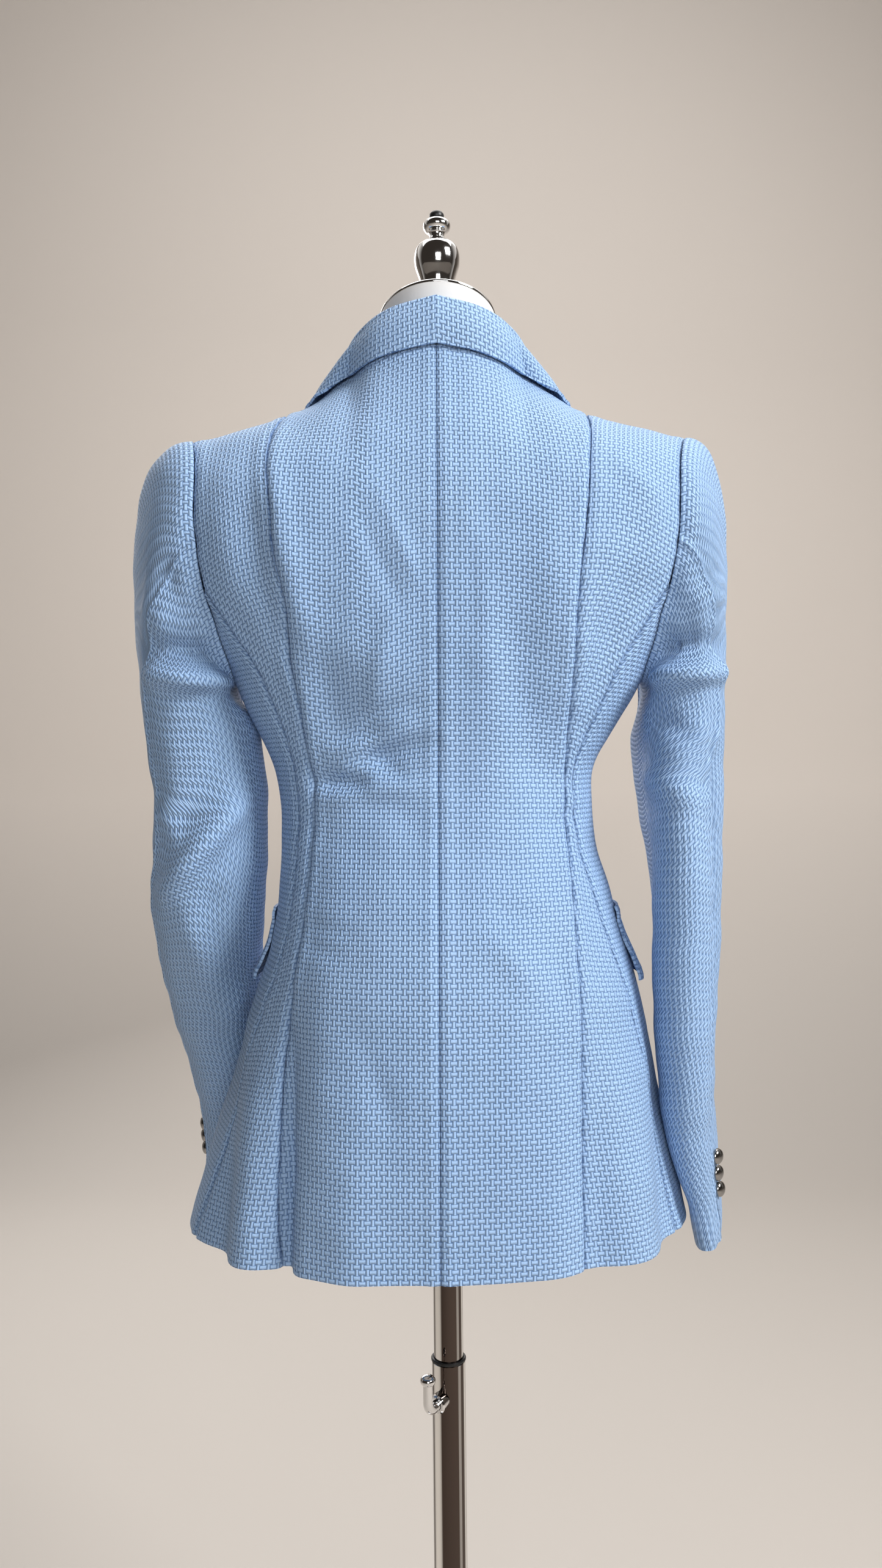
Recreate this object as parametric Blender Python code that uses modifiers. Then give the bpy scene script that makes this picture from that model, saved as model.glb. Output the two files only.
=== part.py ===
import math
from collections import namedtuple

import bmesh
import bpy
import numpy as np
from mathutils import Matrix, Vector
from mathutils.bvhtree import BVHTree

# A blazer worn by a limbless dress form on a pole.
# Metres, +Z up. The fronts face -Y, the wearer's left is +X.
# The origin is on the floor, on the pole's axis.

OBJECT = "blazer_on_dress_form"

# Cloth
CLOTH = 0.002
GAP = 0.0003
SIDES = {"left": 1, "right": -1}

# Heights above the floor
HEM_Z = 0.759
PANEL_SPLIT_Z = 1.130
YOKE_Z = 1.275
LAID_CLEAR = 0.0005  # between a panel and a piece that lies on it
LAID_REACH = 0.008  # what lies farther off is not moved
SHOULDER = 1.375  # the height mark that stands for the shoulder seams and the neckline

# One row for each level of the jacket's body: half widths on each side, the y of the widest place,
# the depths at centre back and centre front, and how square the section is behind and in front
Level = namedtuple("Level", "z left right side_y back_y front_y square_back square_front")
LEVELS = (
    Level(0.759, 0.1930, 0.1905, -0.030, 0.1230, -0.130, 2.30, 2.30),
    Level(0.797, 0.1830, 0.1832, -0.026, 0.1225, -0.128, 2.30, 2.30),
    Level(0.832, 0.1725, 0.1756, -0.022, 0.1220, -0.125, 2.30, 2.30),
    Level(0.869, 0.1600, 0.1665, -0.018, 0.1210, -0.121, 2.30, 2.25),
    Level(0.910, 0.1470, 0.1570, -0.014, 0.1190, -0.115, 2.30, 2.20),
    Level(0.940, 0.1380, 0.1500, -0.012, 0.1165, -0.110, 2.30, 2.20),
    Level(0.970, 0.1290, 0.1405, -0.010, 0.1110, -0.105, 2.30, 2.20),
    Level(1.005, 0.1225, 0.1305, -0.008, 0.1000, -0.098, 2.30, 2.20),
    Level(1.040, 0.1210, 0.1200, -0.006, 0.0860, -0.091, 2.30, 2.20),
    Level(1.075, 0.1205, 0.1165, -0.005, 0.0780, -0.087, 2.30, 2.20),
    Level(1.100, 0.1245, 0.1165, -0.005, 0.0770, -0.089, 2.30, 2.20),
    Level(1.125, 0.1350, 0.1300, -0.006, 0.0800, -0.096, 2.30, 2.20),
    Level(1.150, 0.1470, 0.1460, -0.007, 0.0850, -0.109, 2.40, 2.20),
    Level(1.168, 0.1550, 0.1550, -0.008, 0.0890, -0.117, 2.50, 2.20),
    Level(1.195, 0.1680, 0.1680, -0.010, 0.0930, -0.122, 2.80, 2.15),
    Level(1.225, 0.1790, 0.1790, -0.010, 0.0955, -0.118, 3.20, 2.10),
    Level(1.250, 0.1860, 0.1860, -0.010, 0.0965, -0.110, 3.50, 2.05),
    Level(1.275, 0.1900, 0.1900, -0.010, 0.0950, -0.100, 3.60, 2.00),
)
SWAY_LOW = 0.0047  # how far the hem hangs to the wearer's left of the pole
SWAY_HIGH = 0.0010
SWAY_TOP_Z = 1.410

# The top edge of the body by its distance from the middle: the neckline, then the shoulder seam.
# rise is the angle at which the cloth runs over it
Top = namedtuple("Top", "x y z rise")
SHOULDER_SEAM = (
    Top(0.064, 0.0100, 1.4010, 40),
    Top(0.086, 0.0120, 1.3815, 24),
    Top(0.102, 0.0130, 1.3710, 17),
    Top(0.113, 0.0135, 1.3660, 14),
    Top(0.133, 0.0140, 1.3600, 12),
    Top(0.158, 0.0150, 1.3525, 11),
    Top(0.190, 0.0150, 1.3440, 10),
)
BACK_TOP = (
    Top(0.000, 0.0470, 1.4150, 70),
    Top(0.030, 0.0430, 1.4125, 68),
    Top(0.050, 0.0310, 1.4075, 58),
) + SHOULDER_SEAM
FRONT_TOP = (Top(0.000, 0.0100, 1.4040, 30),) + SHOULDER_SEAM
ROLL_REACH = 1.1  # strength of the curve that rolls over the shoulder
LEAN_STEP = 0.01

# Seams of the body, as distances from the middle
Seam = namedtuple("Seam", "z left right")
PRINCESS = (
    Seam(0.759, 0.1142, 0.1015),
    Seam(0.800, 0.1155, 0.1010),
    Seam(0.855, 0.1135, 0.1000),
    Seam(0.895, 0.1115, 0.0990),
    Seam(0.930, 0.1070, 0.0980),
    Seam(0.962, 0.1018, 0.0970),
    Seam(1.010, 0.0945, 0.0950),
    Seam(1.045, 0.0915, 0.0935),
    Seam(1.089, 0.0900, 0.0925),
    Seam(1.120, 0.0955, 0.0930),
    Seam(1.148, 0.0990, 0.0940),
    Seam(1.177, 0.1045, 0.0950),
    Seam(1.220, 0.1077, 0.0970),
    Seam(1.250, 0.1140, 0.1005),
    Seam(1.282, 0.1165, 0.1045),
    Seam(1.310, 0.1200, 0.1075),
    Seam(1.332, 0.1190, 0.1103),
    Seam(1.375, 0.1128, 0.1127),
)
BACK_ARMHOLE = (
    Seam(1.233, 0.1680, 0.1665),
    Seam(1.250, 0.1705, 0.1690),
    Seam(1.275, 0.1720, 0.1715),
    Seam(1.325, 0.1745, 0.1755),
    Seam(1.350, 0.1785, 0.1805),
    Seam(1.375, 0.1840, 0.1875),
)
FRONT_ARMHOLE = (
    Seam(1.210, 0.1500, 0.1500),
    Seam(1.240, 0.1500, 0.1500),
    Seam(1.275, 0.1555, 0.1555),
    Seam(1.305, 0.1640, 0.1650),
    Seam(1.335, 0.1740, 0.1760),
    Seam(1.375, 0.1840, 0.1875),
)
# The seam behind the arm and the one in front of it, as degrees round the body from centre back
Turn = namedtuple("Turn", "z degrees")
SIDE_SEAM = (
    Turn(0.759, 69),
    Turn(0.800, 68),
    Turn(0.862, 66),
    Turn(0.930, 62),
    Turn(1.000, 58),
    Turn(1.065, 56),
    Turn(1.105, 55),
    Turn(1.140, 52),
    Turn(1.177, 52),
    Turn(1.205, 56),
)
FRONT_SEAM_TURN = 118
SIDE_TOP_BACK_Z = 1.233
SIDE_TOP_FRONT_Z = 1.210
SIDE_TOP_LOW_Z = 1.168

# The fronts: an overlap of two layers under one button, and a straight roll line above it
FRONT_EDGE = 0.018  # how far each front runs past the middle
BREAK_Z = 1.100
ROLL_TOP = 0.064  # distance of the roll line from the middle at the shoulder
OVERLAP_CLEAR = 0.0008
OVERLAP_START = 0.050
OVERLAP_FADE = 0.014
LEFT_LAPEL_LOW_Z = 1.124
LapelRow = namedtuple("LapelRow", "z outer")
LAPEL = (
    LapelRow(1.100, -0.012),
    LapelRow(1.125, 0.018),
    LapelRow(1.150, 0.040),
    LapelRow(1.200, 0.072),
    LapelRow(1.250, 0.094),
    LapelRow(1.302, 0.110),
    LapelRow(1.375, 0.112),
)
LAPEL_LOFT = 0.0012
LAPEL_ROLL = 0.0018
GORGE_INNER_Z = 1.343
GORGE_OUTER_Z = 1.303
FRONT_BUTTON_Z = 1.086

# The largest folds, as lines in the plane of the back view: ends, half width, depth (troughs negative)
Fold = namedtuple("Fold", "x0 z0 x1 z1 width depth")
BACK_FOLDS = (
    Fold(0.122, 0.600, 0.104, 0.950, 0.014, -0.0120),  # the flare's valleys and ridges, from the hem up
    Fold(0.152, 0.610, 0.134, 0.930, 0.016, 0.0060),
    Fold(0.180, 0.610, 0.150, 0.920, 0.013, -0.0100),
    Fold(-0.108, 0.620, -0.096, 0.920, 0.014, -0.0080),
    Fold(-0.140, 0.620, -0.128, 0.900, 0.017, 0.0040),
    Fold(-0.178, 0.610, -0.152, 0.910, 0.013, -0.0100),
    Fold(0.060, 0.620, 0.066, 0.900, 0.022, 0.0040),
    Fold(0.150, 1.300, 0.045, 1.060, 0.014, -0.0040),  # drapes of the upper back
    Fold(0.118, 1.330, 0.085, 1.110, 0.010, 0.0040),
    Fold(0.080, 1.180, 0.012, 1.040, 0.016, -0.0045),
    Fold(0.075, 1.110, 0.010, 1.075, 0.012, 0.0035),
    Fold(-0.040, 1.235, -0.082, 1.040, 0.017, -0.0045),
    Fold(-0.062, 1.300, -0.110, 1.110, 0.018, 0.0035),
    Fold(-0.150, 1.270, -0.090, 1.120, 0.013, -0.0040),
)
LEFT_SLEEVE_FOLDS = (
    Fold(0.232, 1.196, 0.128, 1.184, 0.012, 0.0070),  # the sharp fold below the armhole
    Fold(0.228, 1.172, 0.130, 1.163, 0.010, -0.0090),
    Fold(0.222, 1.270, 0.196, 1.180, 0.011, -0.0040),
    Fold(0.196, 1.020, 0.160, 0.880, 0.014, -0.0040),
)
RIGHT_SLEEVE_FOLDS = (
    Fold(-0.215, 1.192, -0.140, 1.186, 0.011, 0.0060),
    Fold(-0.212, 1.170, -0.138, 1.163, 0.010, -0.0070),
    Fold(-0.168, 1.130, -0.186, 0.960, 0.009, -0.0040),
)
SLEEVE_FOLDS = {"left": LEFT_SLEEVE_FOLDS, "right": RIGHT_SLEEVE_FOLDS}
FOLD_EDGE = 4.0  # how quickly the folds of the back fade at the sides

# Sleeves: one row for each level below the cap: the centre, the half width across and the half depth,
# how far the section is turned out in front, and where the seams behind and in front lie, in degrees
# from the outside, round by the back
Arm = namedtuple("Arm", "z x y across deep turned hind fore")
ARMS = {
    "left": (
        Arm(1.150, 0.1850, -0.008, 0.0425, 0.049, 0, 33, 232),
        Arm(1.125, 0.1830, -0.008, 0.0415, 0.048, 0, 34, 232),
        Arm(1.090, 0.1785, -0.008, 0.0409, 0.047, 0, 36, 232),
        Arm(1.050, 0.1791, -0.010, 0.0411, 0.047, 0, 32, 232),
        Arm(1.006, 0.1828, -0.020, 0.0410, 0.046, 0, 18, 230),
        Arm(0.965, 0.1860, -0.044, 0.0381, 0.045, 0, 24, 228),
        Arm(0.920, 0.1844, -0.070, 0.0355, 0.045, 0, 26, 226),
        Arm(0.881, 0.1800, -0.093, 0.0340, 0.045, 0, 26, 226),
        Arm(0.845, 0.1775, -0.114, 0.0330, 0.045, 0, 28, 226),
        Arm(0.800, 0.1765, -0.136, 0.0315, 0.045, 0, 32, 226),
        Arm(0.744, 0.1810, -0.154, 0.0300, 0.046, 0, 35, 226),
        Arm(0.720, 0.1830, -0.162, 0.0294, 0.046, 0, 36, 226),
    ),
    "right": (
        Arm(1.150, 0.1800, -0.009, 0.0322, 0.060, 0, 50, 232),
        Arm(1.125, 0.1803, -0.008, 0.0307, 0.060, 0, 54, 232),
        Arm(1.090, 0.1809, -0.006, 0.0283, 0.060, 0, 76, 232),
        Arm(1.050, 0.1831, -0.005, 0.0252, 0.060, 2, 70, 232),
        Arm(1.006, 0.1857, -0.006, 0.0222, 0.059, 4, 67, 230),
        Arm(0.965, 0.1877, -0.008, 0.0200, 0.059, 6, 68, 228),
        Arm(0.920, 0.1877, -0.011, 0.0185, 0.058, 8, 66, 226),
        Arm(0.881, 0.1893, -0.014, 0.0168, 0.057, 11, 60, 226),
        Arm(0.845, 0.1916, -0.018, 0.0152, 0.056, 13, 54, 226),
        Arm(0.800, 0.1982, -0.022, 0.0120, 0.055, 13, 46, 226),
        Arm(0.749, 0.2048, -0.026, 0.0090, 0.055, 13, 38, 226),
        Arm(0.725, 0.2080, -0.028, 0.0078, 0.055, 13, 34, 226),
    ),
}
ARM_TOP_Z = 1.125
ARM_BLUNT = 0.9  # how much squarer a flattened section is than an ellipse
CUFF_Z = {"left": 0.744, "right": 0.749}
# The cap, by the share of the way round the armhole from the shoulder, first down the back:
# the direction in which the sleeve leaves the armhole and the strengths of its curve at both ends
Leave = namedtuple("Leave", "share out back up start end")
CAPS = {
    "left": (
        Leave(0.000, 1.00, 0.00, 0.04, 0.190, 0.200),
        Leave(0.120, 0.96, 0.18, -0.10, 0.130, 0.170),
        Leave(0.235, 0.86, 0.15, -0.42, 0.100, 0.130),
        Leave(0.380, 0.76, 0.05, -0.62, 0.070, 0.080),
        Leave(0.500, 0.78, 0.00, -0.62, 0.046, 0.040),
        Leave(0.620, 0.76, -0.05, -0.62, 0.060, 0.070),
        Leave(0.800, 0.90, -0.22, -0.30, 0.100, 0.130),
        Leave(0.900, 0.96, -0.12, -0.10, 0.140, 0.170),
        Leave(1.000, 1.00, 0.00, 0.04, 0.190, 0.200),
    ),
    "right": (
        Leave(0.000, 1.00, 0.00, 0.02, 0.130, 0.180),
        Leave(0.120, 0.96, 0.20, -0.12, 0.100, 0.160),
        Leave(0.235, 0.84, 0.22, -0.42, 0.080, 0.130),
        Leave(0.380, 0.74, 0.10, -0.62, 0.060, 0.080),
        Leave(0.500, 0.78, 0.00, -0.62, 0.046, 0.040),
        Leave(0.620, 0.74, -0.10, -0.62, 0.060, 0.070),
        Leave(0.800, 0.86, -0.25, -0.35, 0.090, 0.130),
        Leave(0.900, 0.95, -0.12, -0.12, 0.110, 0.160),
        Leave(1.000, 1.00, 0.00, 0.02, 0.130, 0.180),
    ),
}
HIND_SEAM_Z = 1.262
FORE_COLUMN = 4
CAP_FOLD_START = 0.25  # share of the cap over which the folds of a sleeve begin
SLEEVE_PROUD = 0.0005  # how far the sleeve's edge stands out from the body's edge
VENT_LENGTH = 0.095
VENT_OPEN = 0.0060  # as a share of the way round

# Cuff buttons: polished metal domes in a touching row beside the vent
CUFF_BUTTONS = 3
CUFF_BUTTON_OFF = 0.0009
CUFF_BUTTON_PITCH = 0.0132
CUFF_BUTTON_LOW = 0.034  # the lowest button above the cuff's edge
CUFF_BUTTON_TURN = 17  # degrees from the vent towards the front
BUTTON_RADIUS = 0.0060
BUTTON_HEIGHT = 0.0048
FRONT_BUTTON_RADIUS = 0.0095
FRONT_BUTTON_HEIGHT = 0.0060

# Pockets on the hips
POCKET_TOP_Z = 0.998
WELT_HEIGHT = 0.009
WELT_LOFT = 0.0012
FLAP_HEIGHT = 0.046
POCKET_TURNS = {"left": (84, 142), "right": (74, 138)}
FLAP_LIFT = 0.0034  # how far the flap's lower edge stands off

# Collar, from centre back (0) to its front end (1): the neck seam and the fold at the top, behind.
# In front both follow the roll line at a height mark. The leaf's edge lies on the body at a distance
# from the middle and at a distance past the shoulder seam, in height marks (less than 0 behind it)
NeckRow = namedtuple("NeckRow", "q seam_x seam_y seam_z fold_x fold_y fold_z")
COLLAR_BEHIND = (
    NeckRow(0.0, 0.0000, 0.0462, 1.4150, 0.0000, 0.0478, 1.4425),
    NeckRow(0.2, 0.0300, 0.0422, 1.4125, 0.0318, 0.0418, 1.4360),
    NeckRow(0.4, 0.0495, 0.0300, 1.4080, 0.0540, 0.0290, 1.4265),
    NeckRow(0.6, 0.0615, 0.0095, 1.4020, 0.0660, 0.0070, 1.4150),
)
RollRow = namedtuple("RollRow", "q mark stand")
COLLAR_IN_FRONT = (RollRow(0.8, 1.364, 0.0080), RollRow(1.0, 1.3455, 0.0052))
COLLAR_NECK_GAP = 0.0018  # between the stand and the front's edge
EdgeRow = namedtuple("EdgeRow", "q x over")
COLLAR_EDGE = (
    EdgeRow(0.0, 0.0000, -0.0060),
    EdgeRow(0.2, 0.0360, -0.0085),
    EdgeRow(0.4, 0.0660, -0.0085),
    EdgeRow(0.6, 0.0920, -0.0008),
    EdgeRow(0.8, 0.1070, 0.0190),
    EdgeRow(1.0, 0.1060, 0.0510),
)
COLLAR_CLEAR = 0.0028  # from the body to the middle of the leaf
COLLAR_RIDGE_CLEAR = 0.0020  # more of it where the leaf crosses the shoulder seam
COLLAR_RIDGE_Q = 0.62
COLLAR_ROWS = 14  # along each half
COLLAR_FOLD_RADIUS = 0.0032
COLLAR_BELLY = 0.0030

# Dress form
FORM_LOW_Z = 0.835
FORM_PLATE_X = 0.148  # the flat sides, where the arms would be
FORM_TOP_SHARE = 0.965
FORM_STEPS = 6  # from the middle to a flat side
FORM_PLATE_STEPS = 4  # from there to the side seam
FORM_TURNS = 4 * (FORM_STEPS + FORM_PLATE_STEPS)
FORM_LEVEL_SPAN = 0.25  # height over which the rings stay level
FormLevel = namedtuple("FormLevel", "z clear")
FORM_CLEAR = (
    FormLevel(0.835, 0.0220),
    FormLevel(0.930, 0.0180),
    FormLevel(1.000, 0.0120),
    FormLevel(1.070, 0.0085),
    FormLevel(1.170, 0.0080),
    FormLevel(1.275, 0.0065),
    FormLevel(1.335, 0.0050),
    FormLevel(1.366, 0.0031),
    FormLevel(1.375, 0.0027),
)
NeckRing = namedtuple("NeckRing", "z across deep y")
NECK = (
    NeckRing(1.370, 0.0560, 0.0430, -0.004),
    NeckRing(1.392, 0.0500, 0.0430, -0.003),
    NeckRing(1.410, 0.0478, 0.0435, -0.002),
    NeckRing(1.425, 0.0462, 0.0443, -0.001),
    NeckRing(1.4398, 0.0445, 0.0450, 0.000),
)
NECK_SIDES = 32
CAP_Z = 1.4398
CAP_TILT = 21  # degrees, down towards the front
CAP_RADIUS = 0.0448
CAP_THICK = 0.0036
DOME_RADIUS = 0.014
DOME_HEIGHT = 0.010

# Finial, from its foot up: radius and height
FINIAL = (
    (0.0110, 1.4540), (0.0116, 1.4620), (0.0126, 1.4720), (0.0148, 1.4785),
    (0.0168, 1.4840), (0.0175, 1.4895), (0.0171, 1.4945), (0.0155, 1.4990),
    (0.0126, 1.5020), (0.0066, 1.5032), (0.0063, 1.5055), (0.0055, 1.5075),
    (0.0060, 1.5105), (0.0088, 1.5117), (0.0104, 1.5140), (0.0105, 1.5165),
    (0.0094, 1.5190), (0.0060, 1.5210),
)
KNOB = ((0.0052, 1.5213), (0.0056, 1.5222), (0.0056, 1.5246), (0.0044, 1.5260))

# Pole and foot
TUBE_WALL = 0.0012
INNER_RADIUS = 0.0112
OUTER_RADIUS = 0.0127
OUTER_TOP_Z = 0.6505
OUTER_LOW_Z = 0.0123
INNER_LOW_Z = 0.340
FLANGE_RADIUS = 0.045
FLANGE_THICK = 0.006
SOCKET_TOP = 0.018
SOCKET_LOW = 0.0145
SOCKET_LENGTH = 0.030
BEVEL = 0.002
EDGE = 0.0007
RING_HEIGHT = 0.0026
RING_RADIUS = 0.0134
CLAMP_Z = 0.625
CLAMP_TURN = 28  # degrees from straight behind towards the wearer's left
BOSS_RADIUS = 0.0068
BOSS_OUT = 0.0205
HOOK_RADIUS = 0.0037
HOOK_REACH = 0.0330
HOOK_RISE = 0.0243
HOOK_BEND = 0.0080
HOOK_BALL_RADIUS = 0.0058
HOOK_BALL_HEIGHT = 0.0042
BASE_PROFILE = (
    (0.0130, 0.0120), (0.0130, 0.0420), (0.0150, 0.0440), (0.0205, 0.0440),
    (0.0235, 0.0420), (0.0250, 0.0220), (0.0300, 0.0165), (0.1000, 0.0120),
    (0.1440, 0.0092), (0.1500, 0.0062), (0.1500, 0.0012), (0.1488, 0.0000),
)

COLOURS = {
    "cloth": ((0.27, 0.47, 0.78), 0.75, 0.0),
    "form": ((0.80, 0.80, 0.78), 0.55, 0.0),
    "chrome": ((0.78, 0.78, 0.78), 0.12, 1.0),
    "button": ((0.16, 0.16, 0.16), 0.25, 1.0),
    "black": ((0.02, 0.02, 0.02), 0.40, 0.0),
}


# Curves through tables

def smooth(knots, values, at):
    step = np.diff(knots)
    rise = np.diff(values) / step
    slope = np.empty_like(values)
    slope[1:-1] = (rise[:-1] * step[1:] + rise[1:] * step[:-1]) / (step[1:] + step[:-1])
    slope[0] = rise[0]
    slope[-1] = rise[-1]
    at = np.clip(at, knots[0], knots[-1])
    i = np.clip(np.searchsorted(knots, at, side="right") - 1, 0, len(step) - 1)
    t = (at - knots[i]) / step[i]
    start = (2 * t**3 - 3 * t**2 + 1) * values[i] + (t**3 - 2 * t**2 + t) * step[i] * slope[i]
    return start + (3 * t**2 - 2 * t**3) * values[i + 1] + (t**3 - t**2) * step[i] * slope[i + 1]


def read(table, name, at):
    rows = sorted(table, key=lambda row: row[0])
    knots = np.array([row[0] for row in rows], float)
    values = np.array([getattr(row, name) for row in rows], float)
    return smooth(knots, values, at)


def hermite(start, start_out, end, end_in, t):
    return (
        (2 * t**3 - 3 * t**2 + 1) * start
        + (t**3 - 2 * t**2 + t) * start_out
        + (3 * t**2 - 2 * t**3) * end
        + (t**3 - t**2) * end_in
    )


def ease(value):
    value = np.clip(value, 0, 1)
    return value * value * (3 - 2 * value)


def signed_power(value, power):
    return np.sign(value) * np.abs(value) ** power


def unit(vectors):
    return vectors / np.maximum(np.linalg.norm(vectors, axis=-1, keepdims=True), 1e-12)


def creases(folds, x, z):
    depth = np.zeros(np.broadcast(x, z).shape)
    for fold in folds:
        run_x = fold.x1 - fold.x0
        run_z = fold.z1 - fold.z0
        along = ((x - fold.x0) * run_x + (z - fold.z0) * run_z) / (run_x**2 + run_z**2)
        near = np.clip(along, 0, 1)
        off = (x - fold.x0 - near * run_x) ** 2 + (z - fold.z0 - near * run_z) ** 2
        depth = depth + fold.depth * np.exp(-off / fold.width**2) * np.sin(math.pi * near)
    return depth


def facing(surface, a, b, step_a=0.002, step_b=0.001):
    across = surface(a + step_a, b) - surface(a - step_a, b)
    along = surface(a, b + step_b) - surface(a, b - step_b)
    return unit(np.cross(across, along))


# The body of the jacket

def section(side, height):
    low = np.minimum(height, YOKE_Z)
    names = (side, "side_y", "back_y", "front_y", "square_back", "square_front")
    return [read(LEVELS, name, low) for name in names]


def angle_at(side, x, height, behind):
    half, _, _, _, square_back, square_front = section(side, height)
    square = square_back if behind else square_front
    angle = np.arcsin(np.clip(signed_power(x / half, square / 2), -1, 1))
    return angle if behind else math.pi - angle


def depth_at(side, x, height, behind):
    half, side_y, back_y, front_y, square_back, square_front = section(side, height)
    square = np.where(behind, square_back, square_front)
    share = np.clip(np.abs(x) / half, 0, 0.985)
    return side_y + (np.where(behind, back_y, front_y) - side_y) * (1 - share**square) ** (1 / square)


def sway(height):
    return SWAY_LOW + (SWAY_HIGH - SWAY_LOW) * (height - HEM_Z) / (SWAY_TOP_Z - HEM_Z)


def top_edge(behind, back_top, name, far):
    neckline = np.where(behind, read(back_top, name, far), read(FRONT_TOP, name, far))
    return np.where(far < ROLL_TOP, neckline, read(SHOULDER_SEAM, name, far))


def plain_body(side, angle, height, back_top=BACK_TOP):
    angle, height = np.broadcast_arrays(np.asarray(angle, float), np.asarray(height, float))
    half, side_y, back_y, front_y, square_back, square_front = section(side, height)
    behind = np.cos(angle) > 0
    square = np.where(behind, square_back, square_front)
    x = half * signed_power(np.sin(angle), 2 / square)
    y = side_y + (np.where(behind, back_y, front_y) - side_y) * np.abs(np.cos(angle)) ** (2 / square)
    # above the yoke, each slice at one distance from the middle rolls over to the shoulder or the neckline
    up = (height - YOKE_Z) / (SHOULDER - YOKE_Z)
    far = np.abs(x)
    start_y = depth_at(side, x, YOKE_Z, behind)
    lean = (start_y - depth_at(side, x, YOKE_Z - LEAN_STEP, behind)) / LEAN_STEP
    end_y = top_edge(behind, back_top, "y", far)
    end_z = top_edge(behind, back_top, "z", far)
    rise = np.radians(top_edge(behind, back_top, "rise", far))
    reach = ROLL_REACH * np.hypot(end_y - y, end_z - YOKE_Z)
    upright = reach / np.hypot(lean, 1)
    over = np.where(behind, -1, 1) * np.cos(rise) * reach
    rolled_y = hermite(y, lean * upright, end_y, over, up)
    rolled_z = hermite(YOKE_Z, upright, end_z, np.sin(rise) * reach, up)
    y = np.where(up > 0, rolled_y, y)
    z = np.where(up > 0, rolled_z, height)
    return np.stack([SIDES[side] * x + sway(height), y, z], axis=-1)


def body(side, angle, height):
    place = plain_body(side, angle, height)
    way = -SIDES[side] * facing(lambda a, b: plain_body(side, a, b), angle, height)
    back_share = np.clip(np.cos(angle) * FOLD_EDGE, 0, 1)
    depth = back_share * creases(BACK_FOLDS, place[..., 0], place[..., 2])
    if side == "right":  # the right front lies over the left one
        x = -place[..., 0]
        front_share = np.clip(-np.cos(angle) * FOLD_EDGE, 0, 1)
        depth = depth + front_share * (CLOTH + OVERLAP_CLEAR) * ease((OVERLAP_START - x) / OVERLAP_FADE)
    return place + way * depth[..., None]


def body_layers(side, angle, height, out=0.0, thick=CLOTH):
    way = -SIDES[side] * facing(lambda a, b: body(side, a, b), angle, height)
    outer = body(side, angle, height)
    # along the shoulder seam the walls of back and front stand in one upright plane
    level = way * np.array([1, 0, 1])
    mitre = unit(level) / np.maximum(np.linalg.norm(level, axis=-1, keepdims=True), 0.5)
    on_seam = (height > SHOULDER - 1e-6) & (np.abs(outer[..., 0] - sway(height)) > ROLL_TOP - 1e-4)
    way = np.where(on_seam[..., None], mitre, way)
    outer = outer + way * np.asarray(out)[..., None]
    return outer, outer - way * thick


# Walls

def drawn_in(grid, amount=GAP / 2):
    grid = grid.copy()
    for _ in range(2):
        for first, second in ((0, 1), (-1, -2)):
            edge = unit(np.gradient(grid[:, first], axis=0))
            inward = grid[:, second] - grid[:, first]
            inward = inward - edge * np.sum(inward * edge, axis=-1, keepdims=True)
            grid[:, first] += unit(inward) * amount
        grid = grid.transpose(1, 0, 2)
    return grid


def signed_volume(points, faces):
    total = 0.0
    for face in faces:
        for i in range(1, len(face) - 1):
            total += np.dot(points[face[0]], np.cross(points[face[i]], points[face[i + 1]]))
    return total / 6


def add_object(name, points, faces, finish, collection):
    if signed_volume(points, faces) < 0:
        faces = [face[::-1] for face in faces]
    mesh = bpy.data.meshes.new(name)
    mesh.from_pydata([tuple(float(v) for v in p) for p in points], [], faces)
    mesh.shade_smooth()
    mesh.set_sharp_from_angle(angle=math.radians(50))
    mesh.materials.append(material(name, finish))
    thing = bpy.data.objects.new(name, mesh)
    collection.objects.link(thing)
    return thing


def remember(name, side, outer, flip=False):
    rows, columns = outer.shape[:2]
    faces = []
    for j in range(rows - 1):
        for i in range(columns - 1):
            a = j * columns + i
            face = (a, a + 1, a + columns + 1, a + columns)
            faces.append(face[::-1] if (side == "left") != flip else face)
    outsides[name] = (outer.reshape(-1, 3), faces)


def cover(names):
    points = []
    faces = []
    for name in names:
        shift = len(points)
        points += [Vector([float(v) for v in point]) for point in outsides[name][0]]
        faces += [tuple(shift + corner for corner in face) for face in outsides[name][1]]
    return BVHTree.FromPolygons(points, faces)


def laid(outer, inner, tree, clear):
    outer = outer.copy()
    inner = inner.copy()
    for index in np.ndindex(outer.shape[:2]):
        point = Vector([float(v) for v in inner[index]])
        near, normal, _, distance = tree.find_nearest(point)
        lack = clear[index] - (point - near).dot(normal)
        if lack > 0 and distance < LAID_REACH:
            move = np.array(normal) * lack
            outer[index] += move
            inner[index] += move
    return outer, inner


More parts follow.
